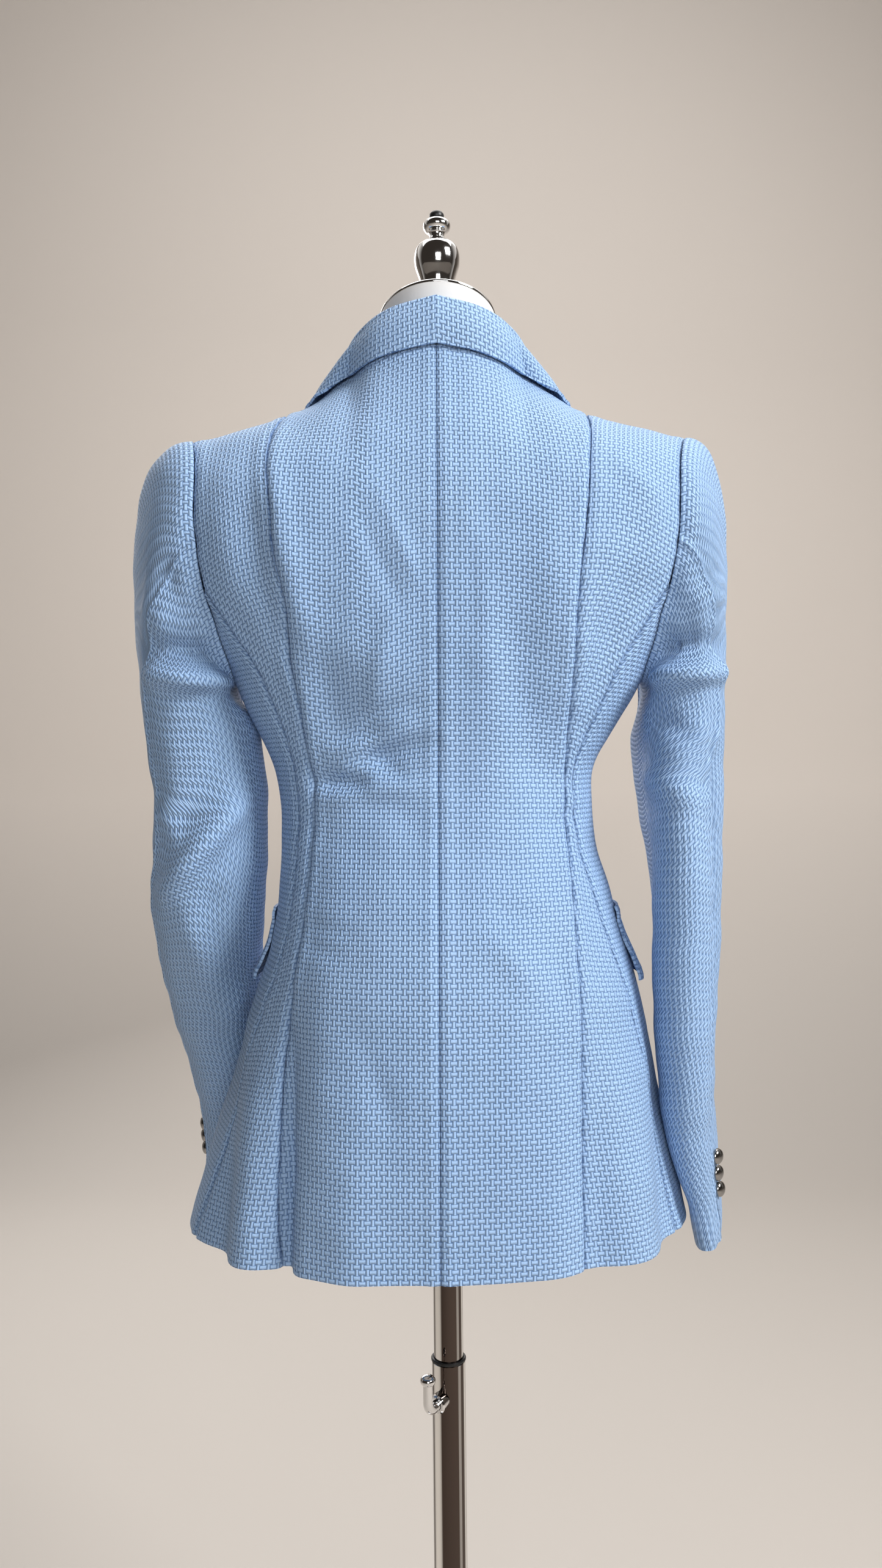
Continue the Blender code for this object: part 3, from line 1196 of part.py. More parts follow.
def make_clamp(collection, tools):
    turn = math.radians(CLAMP_TURN)
    out = Vector((math.sin(turn), math.cos(turn), 0))
    centre = Vector((0, 0, CLAMP_Z))
    bore = HOOK_RADIUS + GAP
    low = OUTER_RADIUS - 0.003
    boss = [(bore, BOSS_OUT), (BOSS_RADIUS - EDGE, BOSS_OUT), (BOSS_RADIUS, BOSS_OUT - EDGE)]
    boss += [(BOSS_RADIUS, low), (bore, low)]
    socket = turned("clamp_boss", boss, "chrome", collection, 20, hollow=True)
    place(socket, centre, out)
    bpy.ops.mesh.primitive_cylinder_add(vertices=56, radius=OUTER_RADIUS + GAP, depth=0.06, location=centre)
    cutter = as_tool(bpy.context.active_object, "pole_cutter", tools)
    cut = socket.modifiers.new("Saddle", "BOOLEAN")
    cut.operation = "DIFFERENCE"
    cut.object = cutter
    route = [Vector((0, 0, OUTER_RADIUS + 2 * GAP)), Vector((0, 0, HOOK_REACH - HOOK_BEND))]
    for k in range(1, 6):
        bend = math.pi / 2 * k / 5
        along = HOOK_REACH - HOOK_BEND + HOOK_BEND * math.sin(bend)
        route.append(Vector((0, HOOK_BEND * (1 - math.cos(bend)), along)))
    route.append(Vector((0, HOOK_RISE - HOOK_BALL_HEIGHT * 0.5, HOOK_REACH)))
    curve = bpy.data.curves.new("clamp_hook", "CURVE")
    curve.dimensions = "3D"
    curve.bevel_depth = HOOK_RADIUS
    curve.bevel_resolution = 2
    curve.use_fill_caps = True
    spline = curve.splines.new("POLY")
    spline.points.add(len(route) - 1)
    for point, at in zip(spline.points, route):
        point.co = (*at, 1)
    rod = bpy.data.objects.new("hook_rod", curve)
    collection.objects.link(rod)
    bpy.context.view_layer.update()
    evaluated = rod.evaluated_get(bpy.context.evaluated_depsgraph_get())
    mesh = bpy.data.meshes.new_from_object(evaluated)
    bpy.data.objects.remove(rod)
    turn_out(mesh)
    mesh.name = "clamp_hook"
    mesh.materials.clear()
    mesh.materials.append(material("clamp_hook", "chrome"))
    hook = bpy.data.objects.new("clamp_hook", mesh)
    collection.objects.link(hook)
    frame = Matrix((
        (-out.y, 0, out.x, 0),
        (out.x, 0, out.y, 0),
        (0, 1, 0, CLAMP_Z),
        (0, 0, 0, 1),
    ))
    hook.matrix_world = frame
    bpy.ops.mesh.primitive_uv_sphere_add(segments=14, ring_count=8, radius=1, location=(0, 0, 0))
    ball = as_tool(bpy.context.active_object, "hook_ball_tool", tools)
    ball.data.transform(Matrix.Diagonal((HOOK_BALL_RADIUS, HOOK_BALL_RADIUS, HOOK_BALL_HEIGHT, 1)))
    ball.location = centre + out * HOOK_REACH + Vector((0, 0, HOOK_RISE))
    join = hook.modifiers.new("Ball", "BOOLEAN")
    join.operation = "UNION"
    join.object = ball


def empty_scene():
    for thing in list(bpy.data.objects):
        bpy.data.objects.remove(thing)


def new_collection(name):
    made = bpy.data.collections.new(name)
    bpy.context.scene.collection.children.link(made)
    return made


empty_scene()
blazer = new_collection(OBJECT)
cutters = new_collection("cutters")
outsides = {}
armholes = {side: armhole(side) for side in SIDES}
for side in SIDES:
    make_body(side, blazer)
    make_pocket(side, blazer)
    make_sleeve(side, blazer)
    make_cuff_buttons(side, blazer)
make_collar(blazer)
make_front_button(blazer)
make_form(blazer, cutters)
make_neck_cap(blazer)
make_finial(blazer)
make_pole(blazer)
make_clamp(blazer, cutters)
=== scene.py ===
import math

import bpy
import numpy as np
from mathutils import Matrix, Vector
from mathutils.bvhtree import BVHTree


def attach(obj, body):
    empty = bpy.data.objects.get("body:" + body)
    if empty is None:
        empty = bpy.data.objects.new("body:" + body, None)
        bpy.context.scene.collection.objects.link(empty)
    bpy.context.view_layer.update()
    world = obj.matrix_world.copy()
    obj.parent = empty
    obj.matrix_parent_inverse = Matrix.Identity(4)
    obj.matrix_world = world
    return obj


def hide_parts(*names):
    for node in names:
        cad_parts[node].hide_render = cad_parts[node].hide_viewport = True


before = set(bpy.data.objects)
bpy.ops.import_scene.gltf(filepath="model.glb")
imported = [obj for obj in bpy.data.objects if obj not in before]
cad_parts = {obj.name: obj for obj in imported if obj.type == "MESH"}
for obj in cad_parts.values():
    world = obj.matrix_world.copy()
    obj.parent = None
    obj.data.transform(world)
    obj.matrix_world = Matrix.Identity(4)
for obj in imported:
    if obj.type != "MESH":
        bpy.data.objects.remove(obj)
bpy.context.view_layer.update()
print("frame loaded")

# A blazer worn by a dress form, seen from behind. Metres, +Z up, the fronts face -Y, the wearer's left is +X.

sides = {"left": 1, "right": -1}


# Curves through tables

def table(names, *rows):
    return dict(zip(names.split(), np.array(sorted(rows), float).T))


def smooth(knots, values, at):
    step = np.diff(knots)
    rise = np.diff(values) / step
    slope = np.empty_like(values)
    slope[1:-1] = (rise[:-1] * step[1:] + rise[1:] * step[:-1]) / (step[1:] + step[:-1])
    slope[0] = rise[0]
    slope[-1] = rise[-1]
    at = np.clip(at, knots[0], knots[-1])
    i = np.clip(np.searchsorted(knots, at, side="right") - 1, 0, len(step) - 1)
    t = (at - knots[i]) / step[i]
    start = (2 * t**3 - 3 * t**2 + 1) * values[i] + (t**3 - 2 * t**2 + t) * step[i] * slope[i]
    return start + (3 * t**2 - 2 * t**3) * values[i + 1] + (t**3 - t**2) * step[i] * slope[i + 1]


def read(rows, name, at):
    return smooth(next(iter(rows.values())), rows[name], at)


def hermite(start, startOut, end, endIn, t):
    return (
        (2 * t**3 - 3 * t**2 + 1) * start
        + (t**3 - 2 * t**2 + t) * startOut
        + (3 * t**2 - 2 * t**3) * end
        + (t**3 - t**2) * endIn
    )


def ease(value):
    value = np.clip(value, 0, 1)
    return value * value * (3 - 2 * value)


def signedPower(value, power):
    return np.sign(value) * np.abs(value) ** power


def unit(vectors):
    return vectors / np.maximum(np.linalg.norm(vectors, axis=-1, keepdims=True), 1e-12)


def creases(folds, x, z):
    # each fold is a line in the plane of the back view: x0 z0 x1 z1, half width, depth (troughs are negative)
    depth = np.zeros(np.broadcast(x, z).shape)
    for x0, z0, x1, z1, width, height in folds:
        runX = x1 - x0
        runZ = z1 - z0
        along = np.clip(((x - x0) * runX + (z - z0) * runZ) / (runX**2 + runZ**2), 0, 1)
        off = (x - x0 - along * runX) ** 2 + (z - z0 - along * runZ) ** 2
        depth = depth + height * np.exp(-off / width**2) * np.sin(math.pi * along)
    return depth


def facing(surface, side, a, b, stepA=0.002, stepB=0.001):
    across = surface(side, a + stepA, b) - surface(side, a - stepA, b)
    along = surface(side, a, b + stepB) - surface(side, a, b - stepB)
    return sides[side] * unit(np.cross(across, along))


# Shader sums and finishes

class Wire:  # a socket that takes part in sums
    def __init__(self, finish, socket):
        self.finish = finish
        self.socket = socket

    def sum(self, operation, first, *others, clamp=False):
        settings = {"operation": operation, "use_clamp": clamp}
        return self.finish.node("ShaderNodeMath", settings, dict(enumerate((first,) + others)))

    def __add__(self, other):
        return self.sum("ADD", self, other)

    def __sub__(self, other):
        return self.sum("SUBTRACT", self, other)

    def __rsub__(self, other):
        return self.sum("SUBTRACT", other, self)

    def __mul__(self, other):
        return self.sum("MULTIPLY", self, other)

    def __truediv__(self, other):
        return self.sum("DIVIDE", self, other)

    def __pow__(self, other):
        return self.sum("POWER", self, other)

    __radd__ = __add__
    __rmul__ = __mul__

    def __abs__(self):
        return self.sum("ABSOLUTE", self)

    def floor(self):
        return self.sum("FLOOR", self)

    def rest(self):
        return self.sum("FRACT", self)

    def clamped(self):
        return self.sum("MULTIPLY", self, 1.0, clamp=True)

    def orMore(self, other):
        return self.sum("MAXIMUM", self, other)

    def out(self, name):
        return Wire(self.finish, self.socket.node.outputs[name])


class Finish:  # one material, or the light of the room, and its nodes
    def __init__(self, name, world=None, **fixed):
        self.material = world or bpy.data.materials.new(name)
        self.material.use_nodes = True
        self.tree = self.material.node_tree
        self.shader = self.tree.nodes["Background" if world else "Principled BSDF"]
        for socket, value in fixed.items():
            self.shader.inputs[socket.replace("_", " ")].default_value = value

    def node(self, kind, settings, inputs, output=0):
        made = self.tree.nodes.new(kind)
        for key, value in settings.items():
            setattr(made, key, value)
        for key, value in inputs.items():
            if isinstance(value, Wire):
                self.tree.links.new(value.socket, made.inputs[key])
            else:
                made.inputs[key].default_value = value
        return Wire(self, made.outputs[output])

    def mix(self, first, second, share):
        return self.node("ShaderNodeMix", {"data_type": "RGBA"}, {0: share, 6: first, 7: second}, 2)

    def apart(self, vector):  # its X, Y and Z are read with out
        return self.node("ShaderNodeSeparateXYZ", {}, {0: vector})

    def here(self, coordinates="Object"):
        return self.node("ShaderNodeTexCoord", {}, {}, coordinates)

    def noise(self, scale, detail=2.0):
        return self.node("ShaderNodeTexNoise", {}, {"Vector": self.here(), "Scale": scale, "Detail": detail})

    def feed(self, socket, wire):
        self.tree.links.new(wire.socket, self.shader.inputs[socket])

    def bump(self, height, strength, distance):
        inputs = {"Height": height, "Strength": strength, "Distance": distance}
        self.feed("Normal", self.node("ShaderNodeBump", {}, inputs))


weave = {
    "rowPitch": 0.00360,  # from one row of bars to the next
    "period": 0.00710,  # along a row, from one lying bar to the next
    "bar": (0.405, 0.590, 0.860, 1),
    "barShade": (0.350, 0.530, 0.815, 1),
    # the gaps' darker colour is partly the ground's own colour and partly painted shade in the recesses
    "gap": (0.120, 0.220, 0.430, 1),
    # painted shade: the dark line along the seams, where their grooves would be shaded
    "seam": (0.050, 0.105, 0.240, 1),
    "drift": (70.0, 0.0008, 0.0005),  # how the rows wander: scale, along a row, across the rows
    "lyingAt": 0.32,  # places and half sizes of the bars, as shares of the period and of the row
    "standingAt": 0.82,
    "lyingHalf": 0.325,
    "standingHalf": 0.155,
    "rowHalf": 0.40,
    "edge": 0.04,
    "toneScale": 6.0,
    "yarn": (420.0, 0.72, 0.56),  # uneven yarn: scale, lowest height and the rest
    "rise": (1.9, 0.05),  # how soon the colour of the gaps, partly painted shade, gives way to the yarn's
    "roughness": (0.72, 0.24),  # in the gaps, and how much less on the yarn
    "fibres": (1600.0, 0.22),
    "bump": (0.9, 0.0008),
    "sheen": {"Sheen_Weight": 0.05, "Sheen_Roughness": 0.45, "Specular_IOR_Level": 0.30},
}


def clothFinish():
    made = Finish("skyWeave", **weave["sheen"])
    spot = made.apart(made.node("ShaderNodeUVMap", {"uv_map": "cloth"}, {}))
    scale, alongRow, acrossRows = weave["drift"]
    drift = made.noise(scale, 1.0) - 0.5
    across = spot.out("X") + drift * alongRow
    up = spot.out("Y") + drift * acrossRows
    rows = up / weave["rowPitch"]
    shift = (rows.floor() * 0.5).rest()  # each row starts half a period on
    along = (across / weave["period"] + shift).rest()
    fromRow = abs(rows.rest() - 0.5)
    fromLying = abs(along - weave["lyingAt"])
    fromStanding = abs(along - weave["standingAt"])
    edge = weave["edge"]
    rowHalf = weave["rowHalf"]
    standingHalf = weave["standingHalf"]
    lying = (1 - (fromRow / rowHalf) ** 2).clamped() * ((weave["lyingHalf"] - fromLying) / edge).clamped()
    standing = (1 - (fromStanding / standingHalf) ** 2).clamped()
    reaching = (1 - (fromLying / standingHalf) ** 2).clamped() * ((fromRow - rowHalf) / edge).clamped()
    scale, lowest, rest = weave["yarn"]
    height = lying.orMore(standing).orMore(reaching) * (lowest + made.noise(scale) * rest)
    tone = made.mix(weave["barShade"], weave["bar"], made.noise(weave["toneScale"], 3.0))
    steep, start = weave["rise"]
    # low yarn takes the gaps' colour: partly the ground's own colour, partly painted shade in the recesses
    yarn = made.mix(weave["gap"], tone, (height * steep + start).clamped())
    # painted shade along the seams: the seam attribute darkens the colour towards the seam colour
    seam = made.node("ShaderNodeAttribute", {"attribute_name": "seam"}, {}, "Fac")
    made.feed("Base Color", made.mix(yarn, weave["seam"], seam))
    dull, less = weave["roughness"]
    made.feed("Roughness", dull - height * less)
    scale, share = weave["fibres"]
    made.bump(height + made.noise(scale, 1.0) * share, *weave["bump"])
    return made.material


surfaces = {
    "wearScale": 9.0,
    "dustScale": 240.0,
    "dust": 0.02,  # how much the dust adds to the roughness of metal
    "dullMetal": (0.86, 1.5),  # its colour, and how soon it gives way to the bright one
    "metalBump": (0.02, 0.0005),
    "toneScale": 5.0,
    "darkPlastic": 0.93,
    "grainScale": 700.0,
    "grainRoughness": 0.12,
    "grainHeight": 0.0003,
}


def shaded(colour, share):
    return tuple(part * share for part in colour[:3]) + (1,)


def metalFinish(name, colour, smoothest, dullest):
    made = Finish(name, Metallic=1.0, Base_Color=colour)
    wear = made.noise(surfaces["wearScale"], 4.0)
    dust = made.noise(surfaces["dustScale"]) * surfaces["dust"]
    made.feed("Roughness", smoothest + wear * (dullest - smoothest) + dust)
    dull, steep = surfaces["dullMetal"]
    made.feed("Base Color", made.mix(shaded(colour, dull), colour, (wear * steep).clamped()))
    made.bump(wear, *surfaces["metalBump"])
    return made.material


tube = {  # the polished pole, with painted reflections as dark and bright streaks along its length
    # the painted reflections run from this dark colour to the bright one
    "dark": (0.085, 0.064, 0.054, 1),
    "bright": (0.95, 0.93, 0.89, 1),
    "roughness": (0.04, 0.06),
    "paintedReflections": (  # each painted reflection: middle and half width in degrees from straight behind, strength
        (-166, 12, 0.7), (-128, 9, 0.9), (-96, 8, 0.5), (-46, 19, 1.0), (-74, 4, 0.3),
        (40, 7, 0.35), (69, 8, 0.9), (104, 12, 0.6), (140, 16, 1.0), (172, 6, 0.4),
    ),
}


def tubeFinish():
    # chrome with painted reflections in its base colour
    made = Finish("chromeWithPaintedReflections", Metallic=1.0)
    where = made.apart(made.here())
    turn = where.sum("ARCTAN2", where.out("X") * -1, where.out("Y")) * (180 / math.pi)
    light = turn * 0
    for middle, half, strength in tube["paintedReflections"]:
        light = light.orMore((1 - abs((turn - middle) / half) ** 4).clamped() * strength)
    # painted reflections: the base colour turns bright in each streak round the tube
    made.feed("Base Color", made.mix(tube["dark"], tube["bright"], light))
    smoothest, more = tube["roughness"]
    made.feed("Roughness", smoothest + made.noise(surfaces["wearScale"], 4.0) * more)
    return made.material


def plasticFinish(name, colour, roughness, grain):
    made = Finish(name, Specular_IOR_Level=0.4)
    tone = made.noise(surfaces["toneScale"], 3.0)
    made.feed("Base Color", made.mix(shaded(colour, surfaces["darkPlastic"]), colour, tone))
    speckle = made.noise(surfaces["grainScale"])
    made.feed("Roughness", roughness + speckle * surfaces["grainRoughness"])
    made.bump(speckle, grain, surfaces["grainHeight"])
    return made.material


finishes = {
    "cloth": clothFinish(),
    "chrome": metalFinish("chrome", (0.80, 0.79, 0.78, 1), 0.03, 0.12),
    "pole": tubeFinish(),
    "button": metalFinish("darkMetal", (0.34, 0.33, 0.32, 1), 0.10, 0.22),
    "form": plasticFinish("whiteShell", (0.80, 0.79, 0.78, 1), 0.42, 0.12),
    "black": plasticFinish("blackPlastic", (0.012, 0.012, 0.012, 1), 0.32, 0.08),
}
print("finishes made")


# Meshes

def meshOf(name, points, faces, finish, uv=None, seam=None):
    # faces have four corners each; they are turned so that the volume is positive
    a, b, c, d = (points[faces[:, k]] for k in range(4))
    if np.sum(np.cross(b, c) * a) + np.sum(np.cross(c, d) * a) < 0:
        faces = faces[:, ::-1]
    mesh = bpy.data.meshes.new(name)
    mesh.vertices.add(len(points))
    mesh.vertices.foreach_set("co", points.ravel())
    mesh.loops.add(faces.size)
    mesh.loops.foreach_set("vertex_index", faces.ravel())
    mesh.polygons.add(len(faces))
    mesh.polygons.foreach_set("loop_start", np.arange(0, faces.size, 4))
    if uv is not None:
        mesh.uv_layers.new(name="cloth").data.foreach_set("uv", uv[faces.ravel()].ravel())
    # seam holds how strongly painted shade darkens each point along the seams
    if seam is not None:
        mesh.attributes.new("seam", "FLOAT", "POINT").data.foreach_set("value", seam)
    mesh.update(calc_edges=True)
    mesh.validate()
    mesh.shade_smooth()
    mesh.set_sharp_from_angle(angle=math.radians(60))
    return addPiece(name, mesh, finish)


def addPiece(name, data, finish):
    data.materials.clear()
    data.materials.append(finishes[finish])
    piece = bpy.data.objects.new(name, data)
    bpy.context.scene.collection.objects.link(piece)
    return piece


def carry(piece, carrier, *nodes):
    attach(piece, carrier)
    if nodes:
        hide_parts(*nodes)
    return piece


def lengths(grid, axis):
    steps = np.linalg.norm(np.diff(grid, axis=axis), axis=-1)
    start = np.zeros_like(np.take(steps, [0], axis=axis))
    return np.concatenate([start, np.cumsum(steps, axis=axis)], axis=axis)


def clothMap(outer, grain=0.5):
    # across and along the grain in metres, straight at one column
    across = lengths(outer, 1)
    column = int(round(grain * (outer.shape[1] - 1)))
    across = across - across[:, column:column + 1]
    return np.stack([across, lengths(outer, 0)], axis=-1)


stitching = {
    "pucker": (0.00022, 0.023, 40, 0.009),  # height, pitch along the seam, slant and reach
    "swell": (0.006, 0.004),  # where the cloth is fullest beside a seam, and its half width
    "narrowest": 0.0105,  # a narrow strip has its edge turned in
}


def seamOffsets(outer):
    # how far each point is from the first and last column and from the low and high row
    across = lengths(outer, 1)
    along = lengths(outer, 0)
    return {"first": across, "last": across[:, -1:] - across, "low": along, "high": along[-1:] - along}


def seamDip(outer, sewn, depth, reach=0.0018, puff=0.0007):  # the surface rolls down to its seams
    off = seamOffsets(outer)
    height, pitch, slant, fade = stitching["pucker"]
    fullest, half = stitching["swell"]
    wave = height * np.sin(off["low"] * 2 * math.pi / pitch + off["first"] * slant)
    dip = np.zeros(outer.shape[:2])
    for edge in sewn:
        pucker = wave * np.exp(-(off[edge] / fade) ** 2)
        swell = puff * np.exp(-((off[edge] - fullest) / half) ** 2)
        dip = dip - depth * np.exp(-(off[edge] / reach) ** 2) + pucker + swell
    return dip


# painted shade beside the sewn edges: its strength at each point
def seamShade(outer, sewn, strength, reach):
    off = seamOffsets(outer)
    shade = np.zeros(outer.shape[:2])
    for edge in sewn:
        shade = np.maximum(shade, strength * np.exp(-(off[edge] / reach) ** 2))
    return shade


def clustered(count):  # shares from 0 to 1, closer together towards both ends
    even = np.linspace(0, 1, count)
    return even - 0.6 * np.sin(2 * math.pi * even) / (2 * math.pi)


def drawnIn(grid, amount=0.0002):
    grid = grid.copy()
    for _ in range(2):
        for first, second in ((0, 1), (-1, -2)):
            edge = unit(np.gradient(grid[:, first], axis=0))
            inward = grid[:, second] - grid[:, first]
            inward = inward - edge * np.sum(inward * edge, axis=-1, keepdims=True)
            grid[:, first] += unit(inward) * amount
        grid = grid.transpose(1, 0, 2)
    return grid


def gridPlaces(grid):
    rows, columns = grid.shape[:2]
    return np.arange(rows * columns).reshape(rows, columns)


def gridFaces(places):
    corners = [places[:-1, :-1], places[:-1, 1:], places[1:, 1:], places[1:, :-1]]
    return np.stack(corners, axis=-1).reshape(-1, 4)


def wall(name, outer, inner, uv, sewn=(), dark=(0.42, 0.0012)):
    # cloth with a face, a back and a rim; dark is how much painted shade darkens it along the seams, and how
    # far
    places = gridPlaces(outer)
    faces = gridFaces(places)
    edge = np.concatenate([places[0], places[1:, -1], places[-1, -2::-1], places[-2:0:-1, 0]])
    after = np.roll(edge, -1)
    shift = places.size
    rim = np.stack([after, edge, shift + edge, shift + after], axis=-1)
    faces = np.concatenate([faces, shift + faces[:, ::-1], rim])
    points = np.concatenate([outer.reshape(-1, 3), inner.reshape(-1, 3)])
    seam = np.concatenate([seamShade(outer, sewn, *dark).ravel(), np.zeros(shift)])
    piece = meshOf(name + "_cloth", points, faces, "cloth", np.tile(uv.reshape(-1, 2), (2, 1)), seam)
    carry(piece, "torso", name)
    width = float(lengths(outer, 1)[:, -1].max())
    length = max(float(lengths(outer, 0)[-1].max()), stitching["narrowest"])
    crossed = np.cross(np.diff(outer, axis=1)[:-1], np.diff(outer, axis=0)[:, :-1])
    area = min(float(np.linalg.norm(crossed, axis=-1).sum()), width * length)
    print(f"{name}: flat {width:.3f} x {length:.3f} m, {area:.4f} m2")
    return piece


# Body of the jacket

body = {
    "thick": 0.002,
    "step": 0.0034,  # size of the mesh
    "hemZ": 0.759,
    "splitZ": 1.130,
    "yokeZ": 1.275,
    "shoulder": 1.375,  # the height mark that stands for the shoulder seams and the neckline
    "rollReach": 1.1,
    "seamDepth": 0.0014,
    "seamFade": 0.02,
    "flatSeam": (0.0007, 0.0012),  # depth and reach of the seams of lapels and flaps
    "laidClear": 0.0005,
    "sway": (0.0047, 0.0010, 1.410),  # at the hem, at the top, and the top's height
    "waves": (  # slight unevenness: height, then two crossing waves by x, by z, and their start
        (0.0007, (61, 38, 1.3), (-29, 47, 0.4)),
        (0.00035, (133, -71, 2.1), (54, 88, 0.9)),
    ),
    "panels": {  # share of the way across where the weave runs straight, height where the dip of the
        # seams fades out, share of the dip at the first column
        "back": (0.0, math.inf, 0.45),
        "side_back": (0.4, 1.225, 1.0),
        "side": (0.5, math.inf, 1.0),
        "front": (1.0, math.inf, 1.0),
    },
    "aroundSide": 4,  # how soon the folds of back and front end at the sides
    "leanStep": 0.01,
    "widest": 0.985,  # of the half width, where depths are read
    "marks": (28, 20, 32),  # columns from the middle to the roll line, to the princess seam, to the armhole
    "straighten": (0.55, 0.40),  # from this share of the height the columns turn to the top's marks
    "sideRows": 21,  # rows of the side above the split
    "levels": table(
        "z left right sideY backY frontY squareBack squareFront",
        (0.759, 0.1930, 0.1905, -0.030, 0.1230, -0.130, 2.30, 2.30),
        (0.797, 0.1830, 0.1832, -0.026, 0.1225, -0.128, 2.30, 2.30),
        (0.832, 0.1725, 0.1756, -0.022, 0.1220, -0.125, 2.30, 2.30),
        (0.869, 0.1600, 0.1665, -0.018, 0.1210, -0.121, 2.30, 2.25),
        (0.910, 0.1470, 0.1570, -0.014, 0.1190, -0.115, 2.30, 2.20),
        (0.940, 0.1380, 0.1500, -0.012, 0.1165, -0.110, 2.30, 2.20),
        (0.970, 0.1290, 0.1405, -0.010, 0.1110, -0.105, 2.30, 2.20),
        (1.005, 0.1225, 0.1305, -0.008, 0.1000, -0.098, 2.30, 2.20),
        (1.040, 0.1210, 0.1200, -0.006, 0.0860, -0.091, 2.30, 2.20),
        (1.075, 0.1205, 0.1165, -0.005, 0.0780, -0.087, 2.30, 2.20),
        (1.100, 0.1245, 0.1165, -0.005, 0.0770, -0.089, 2.30, 2.20),
        (1.125, 0.1350, 0.1300, -0.006, 0.0800, -0.096, 2.30, 2.20),
        (1.150, 0.1470, 0.1460, -0.007, 0.0850, -0.109, 2.40, 2.20),
        (1.168, 0.1550, 0.1550, -0.008, 0.0890, -0.117, 2.50, 2.20),
        (1.195, 0.1680, 0.1680, -0.010, 0.0930, -0.122, 2.80, 2.15),
        (1.225, 0.1790, 0.1790, -0.010, 0.0955, -0.118, 3.20, 2.10),
        (1.250, 0.1860, 0.1860, -0.010, 0.0965, -0.110, 3.50, 2.05),
        (1.275, 0.1900, 0.1900, -0.010, 0.0950, -0.100, 3.60, 2.00),
    ),
}
shoulderRows = (
    (0.064, 0.0100, 1.4010, 40),
    (0.086, 0.0120, 1.3815, 24),
    (0.102, 0.0130, 1.3710, 17),
    (0.113, 0.0135, 1.3660, 14),
    (0.133, 0.0140, 1.3600, 12),
    (0.158, 0.0150, 1.3525, 11),
    (0.190, 0.0150, 1.3440, 10),
)
topEdges = {  # by the distance from the middle; rise is the angle at which the cloth runs over the edge
    "shoulder": table("x y z rise", *shoulderRows),
    "back": table(
        "x y z rise",
        (0.000, 0.0470, 1.4150, 70),
        (0.030, 0.0430, 1.4125, 68),
        (0.050, 0.0310, 1.4075, 58),
        *shoulderRows,
    ),
    "front": table("x y z rise", (0.000, 0.0100, 1.4040, 30), *shoulderRows),
}
seams = {
    "princess": table(
        "z left right",
        (0.759, 0.1142, 0.1015),
        (0.800, 0.1155, 0.1010),
        (0.855, 0.1135, 0.1000),
        (0.895, 0.1115, 0.0990),
        (0.930, 0.1070, 0.0980),
        (0.962, 0.1018, 0.0970),
        (1.010, 0.0945, 0.0950),
        (1.045, 0.0915, 0.0935),
        (1.089, 0.0900, 0.0925),
        (1.120, 0.0955, 0.0930),
        (1.148, 0.0990, 0.0940),
        (1.177, 0.1045, 0.0950),
        (1.220, 0.1077, 0.0970),
        (1.250, 0.1140, 0.1005),
        (1.282, 0.1165, 0.1045),
        (1.310, 0.1200, 0.1075),
        (1.332, 0.1190, 0.1103),
        (1.375, 0.1128, 0.1127),
    ),
    "backArmhole": table(
        "z left right",
        (1.233, 0.1680, 0.1665),
        (1.250, 0.1705, 0.1690),
        (1.275, 0.1720, 0.1715),
        (1.325, 0.1745, 0.1755),
        (1.350, 0.1785, 0.1805),
        (1.375, 0.1840, 0.1875),
    ),
    "frontArmhole": table(
        "z left right",
        (1.210, 0.1500, 0.1500),
        (1.240, 0.1500, 0.1500),
        (1.275, 0.1555, 0.1555),
        (1.305, 0.1640, 0.1650),
        (1.335, 0.1740, 0.1760),
        (1.375, 0.1840, 0.1875),
    ),
    "sideTurns": table(  # the seam behind the arm, in degrees round the body from centre back
        "z degrees",
        (0.759, 69),
        (0.800, 68),
        (0.862, 66),
        (0.930, 62),
        (1.000, 58),
        (1.065, 56),
        (1.105, 55),
        (1.140, 52),
        (1.177, 52),
        (1.205, 56),
    ),
    "frontTurn": 118,
    "sideTopBackZ": 1.233,
    "sideTopFrontZ": 1.210,
    "sideTopLowZ": 1.168,
}
front = {
    "edge": 0.018,  # how far each front runs past the middle
    "breakZ": 1.100,
    "rollTop": 0.064,
    "overlap": (0.0008, 0.050, 0.014),  # clearance, start from the middle, and fade
    "leftLapelLowZ": 1.124,
    "lapel": table(
        "z outer",
        (1.100, -0.012),
        (1.125, 0.018),
        (1.150, 0.040),
        (1.200, 0.072),
        (1.250, 0.094),
        (1.302, 0.110),
        (1.375, 0.112),
    ),
    "lapelLoft": 0.0012,
    "lapelRoll": 0.0018,
    "lapelGaps": (0.0006, 0.0018, 0.004),  # beside its roll line, beside the other front, narrowest
    "gorge": (1.343, 1.303),  # the notch line at the roll line and at the lapel's point
    "buttonZ": 1.086,
}
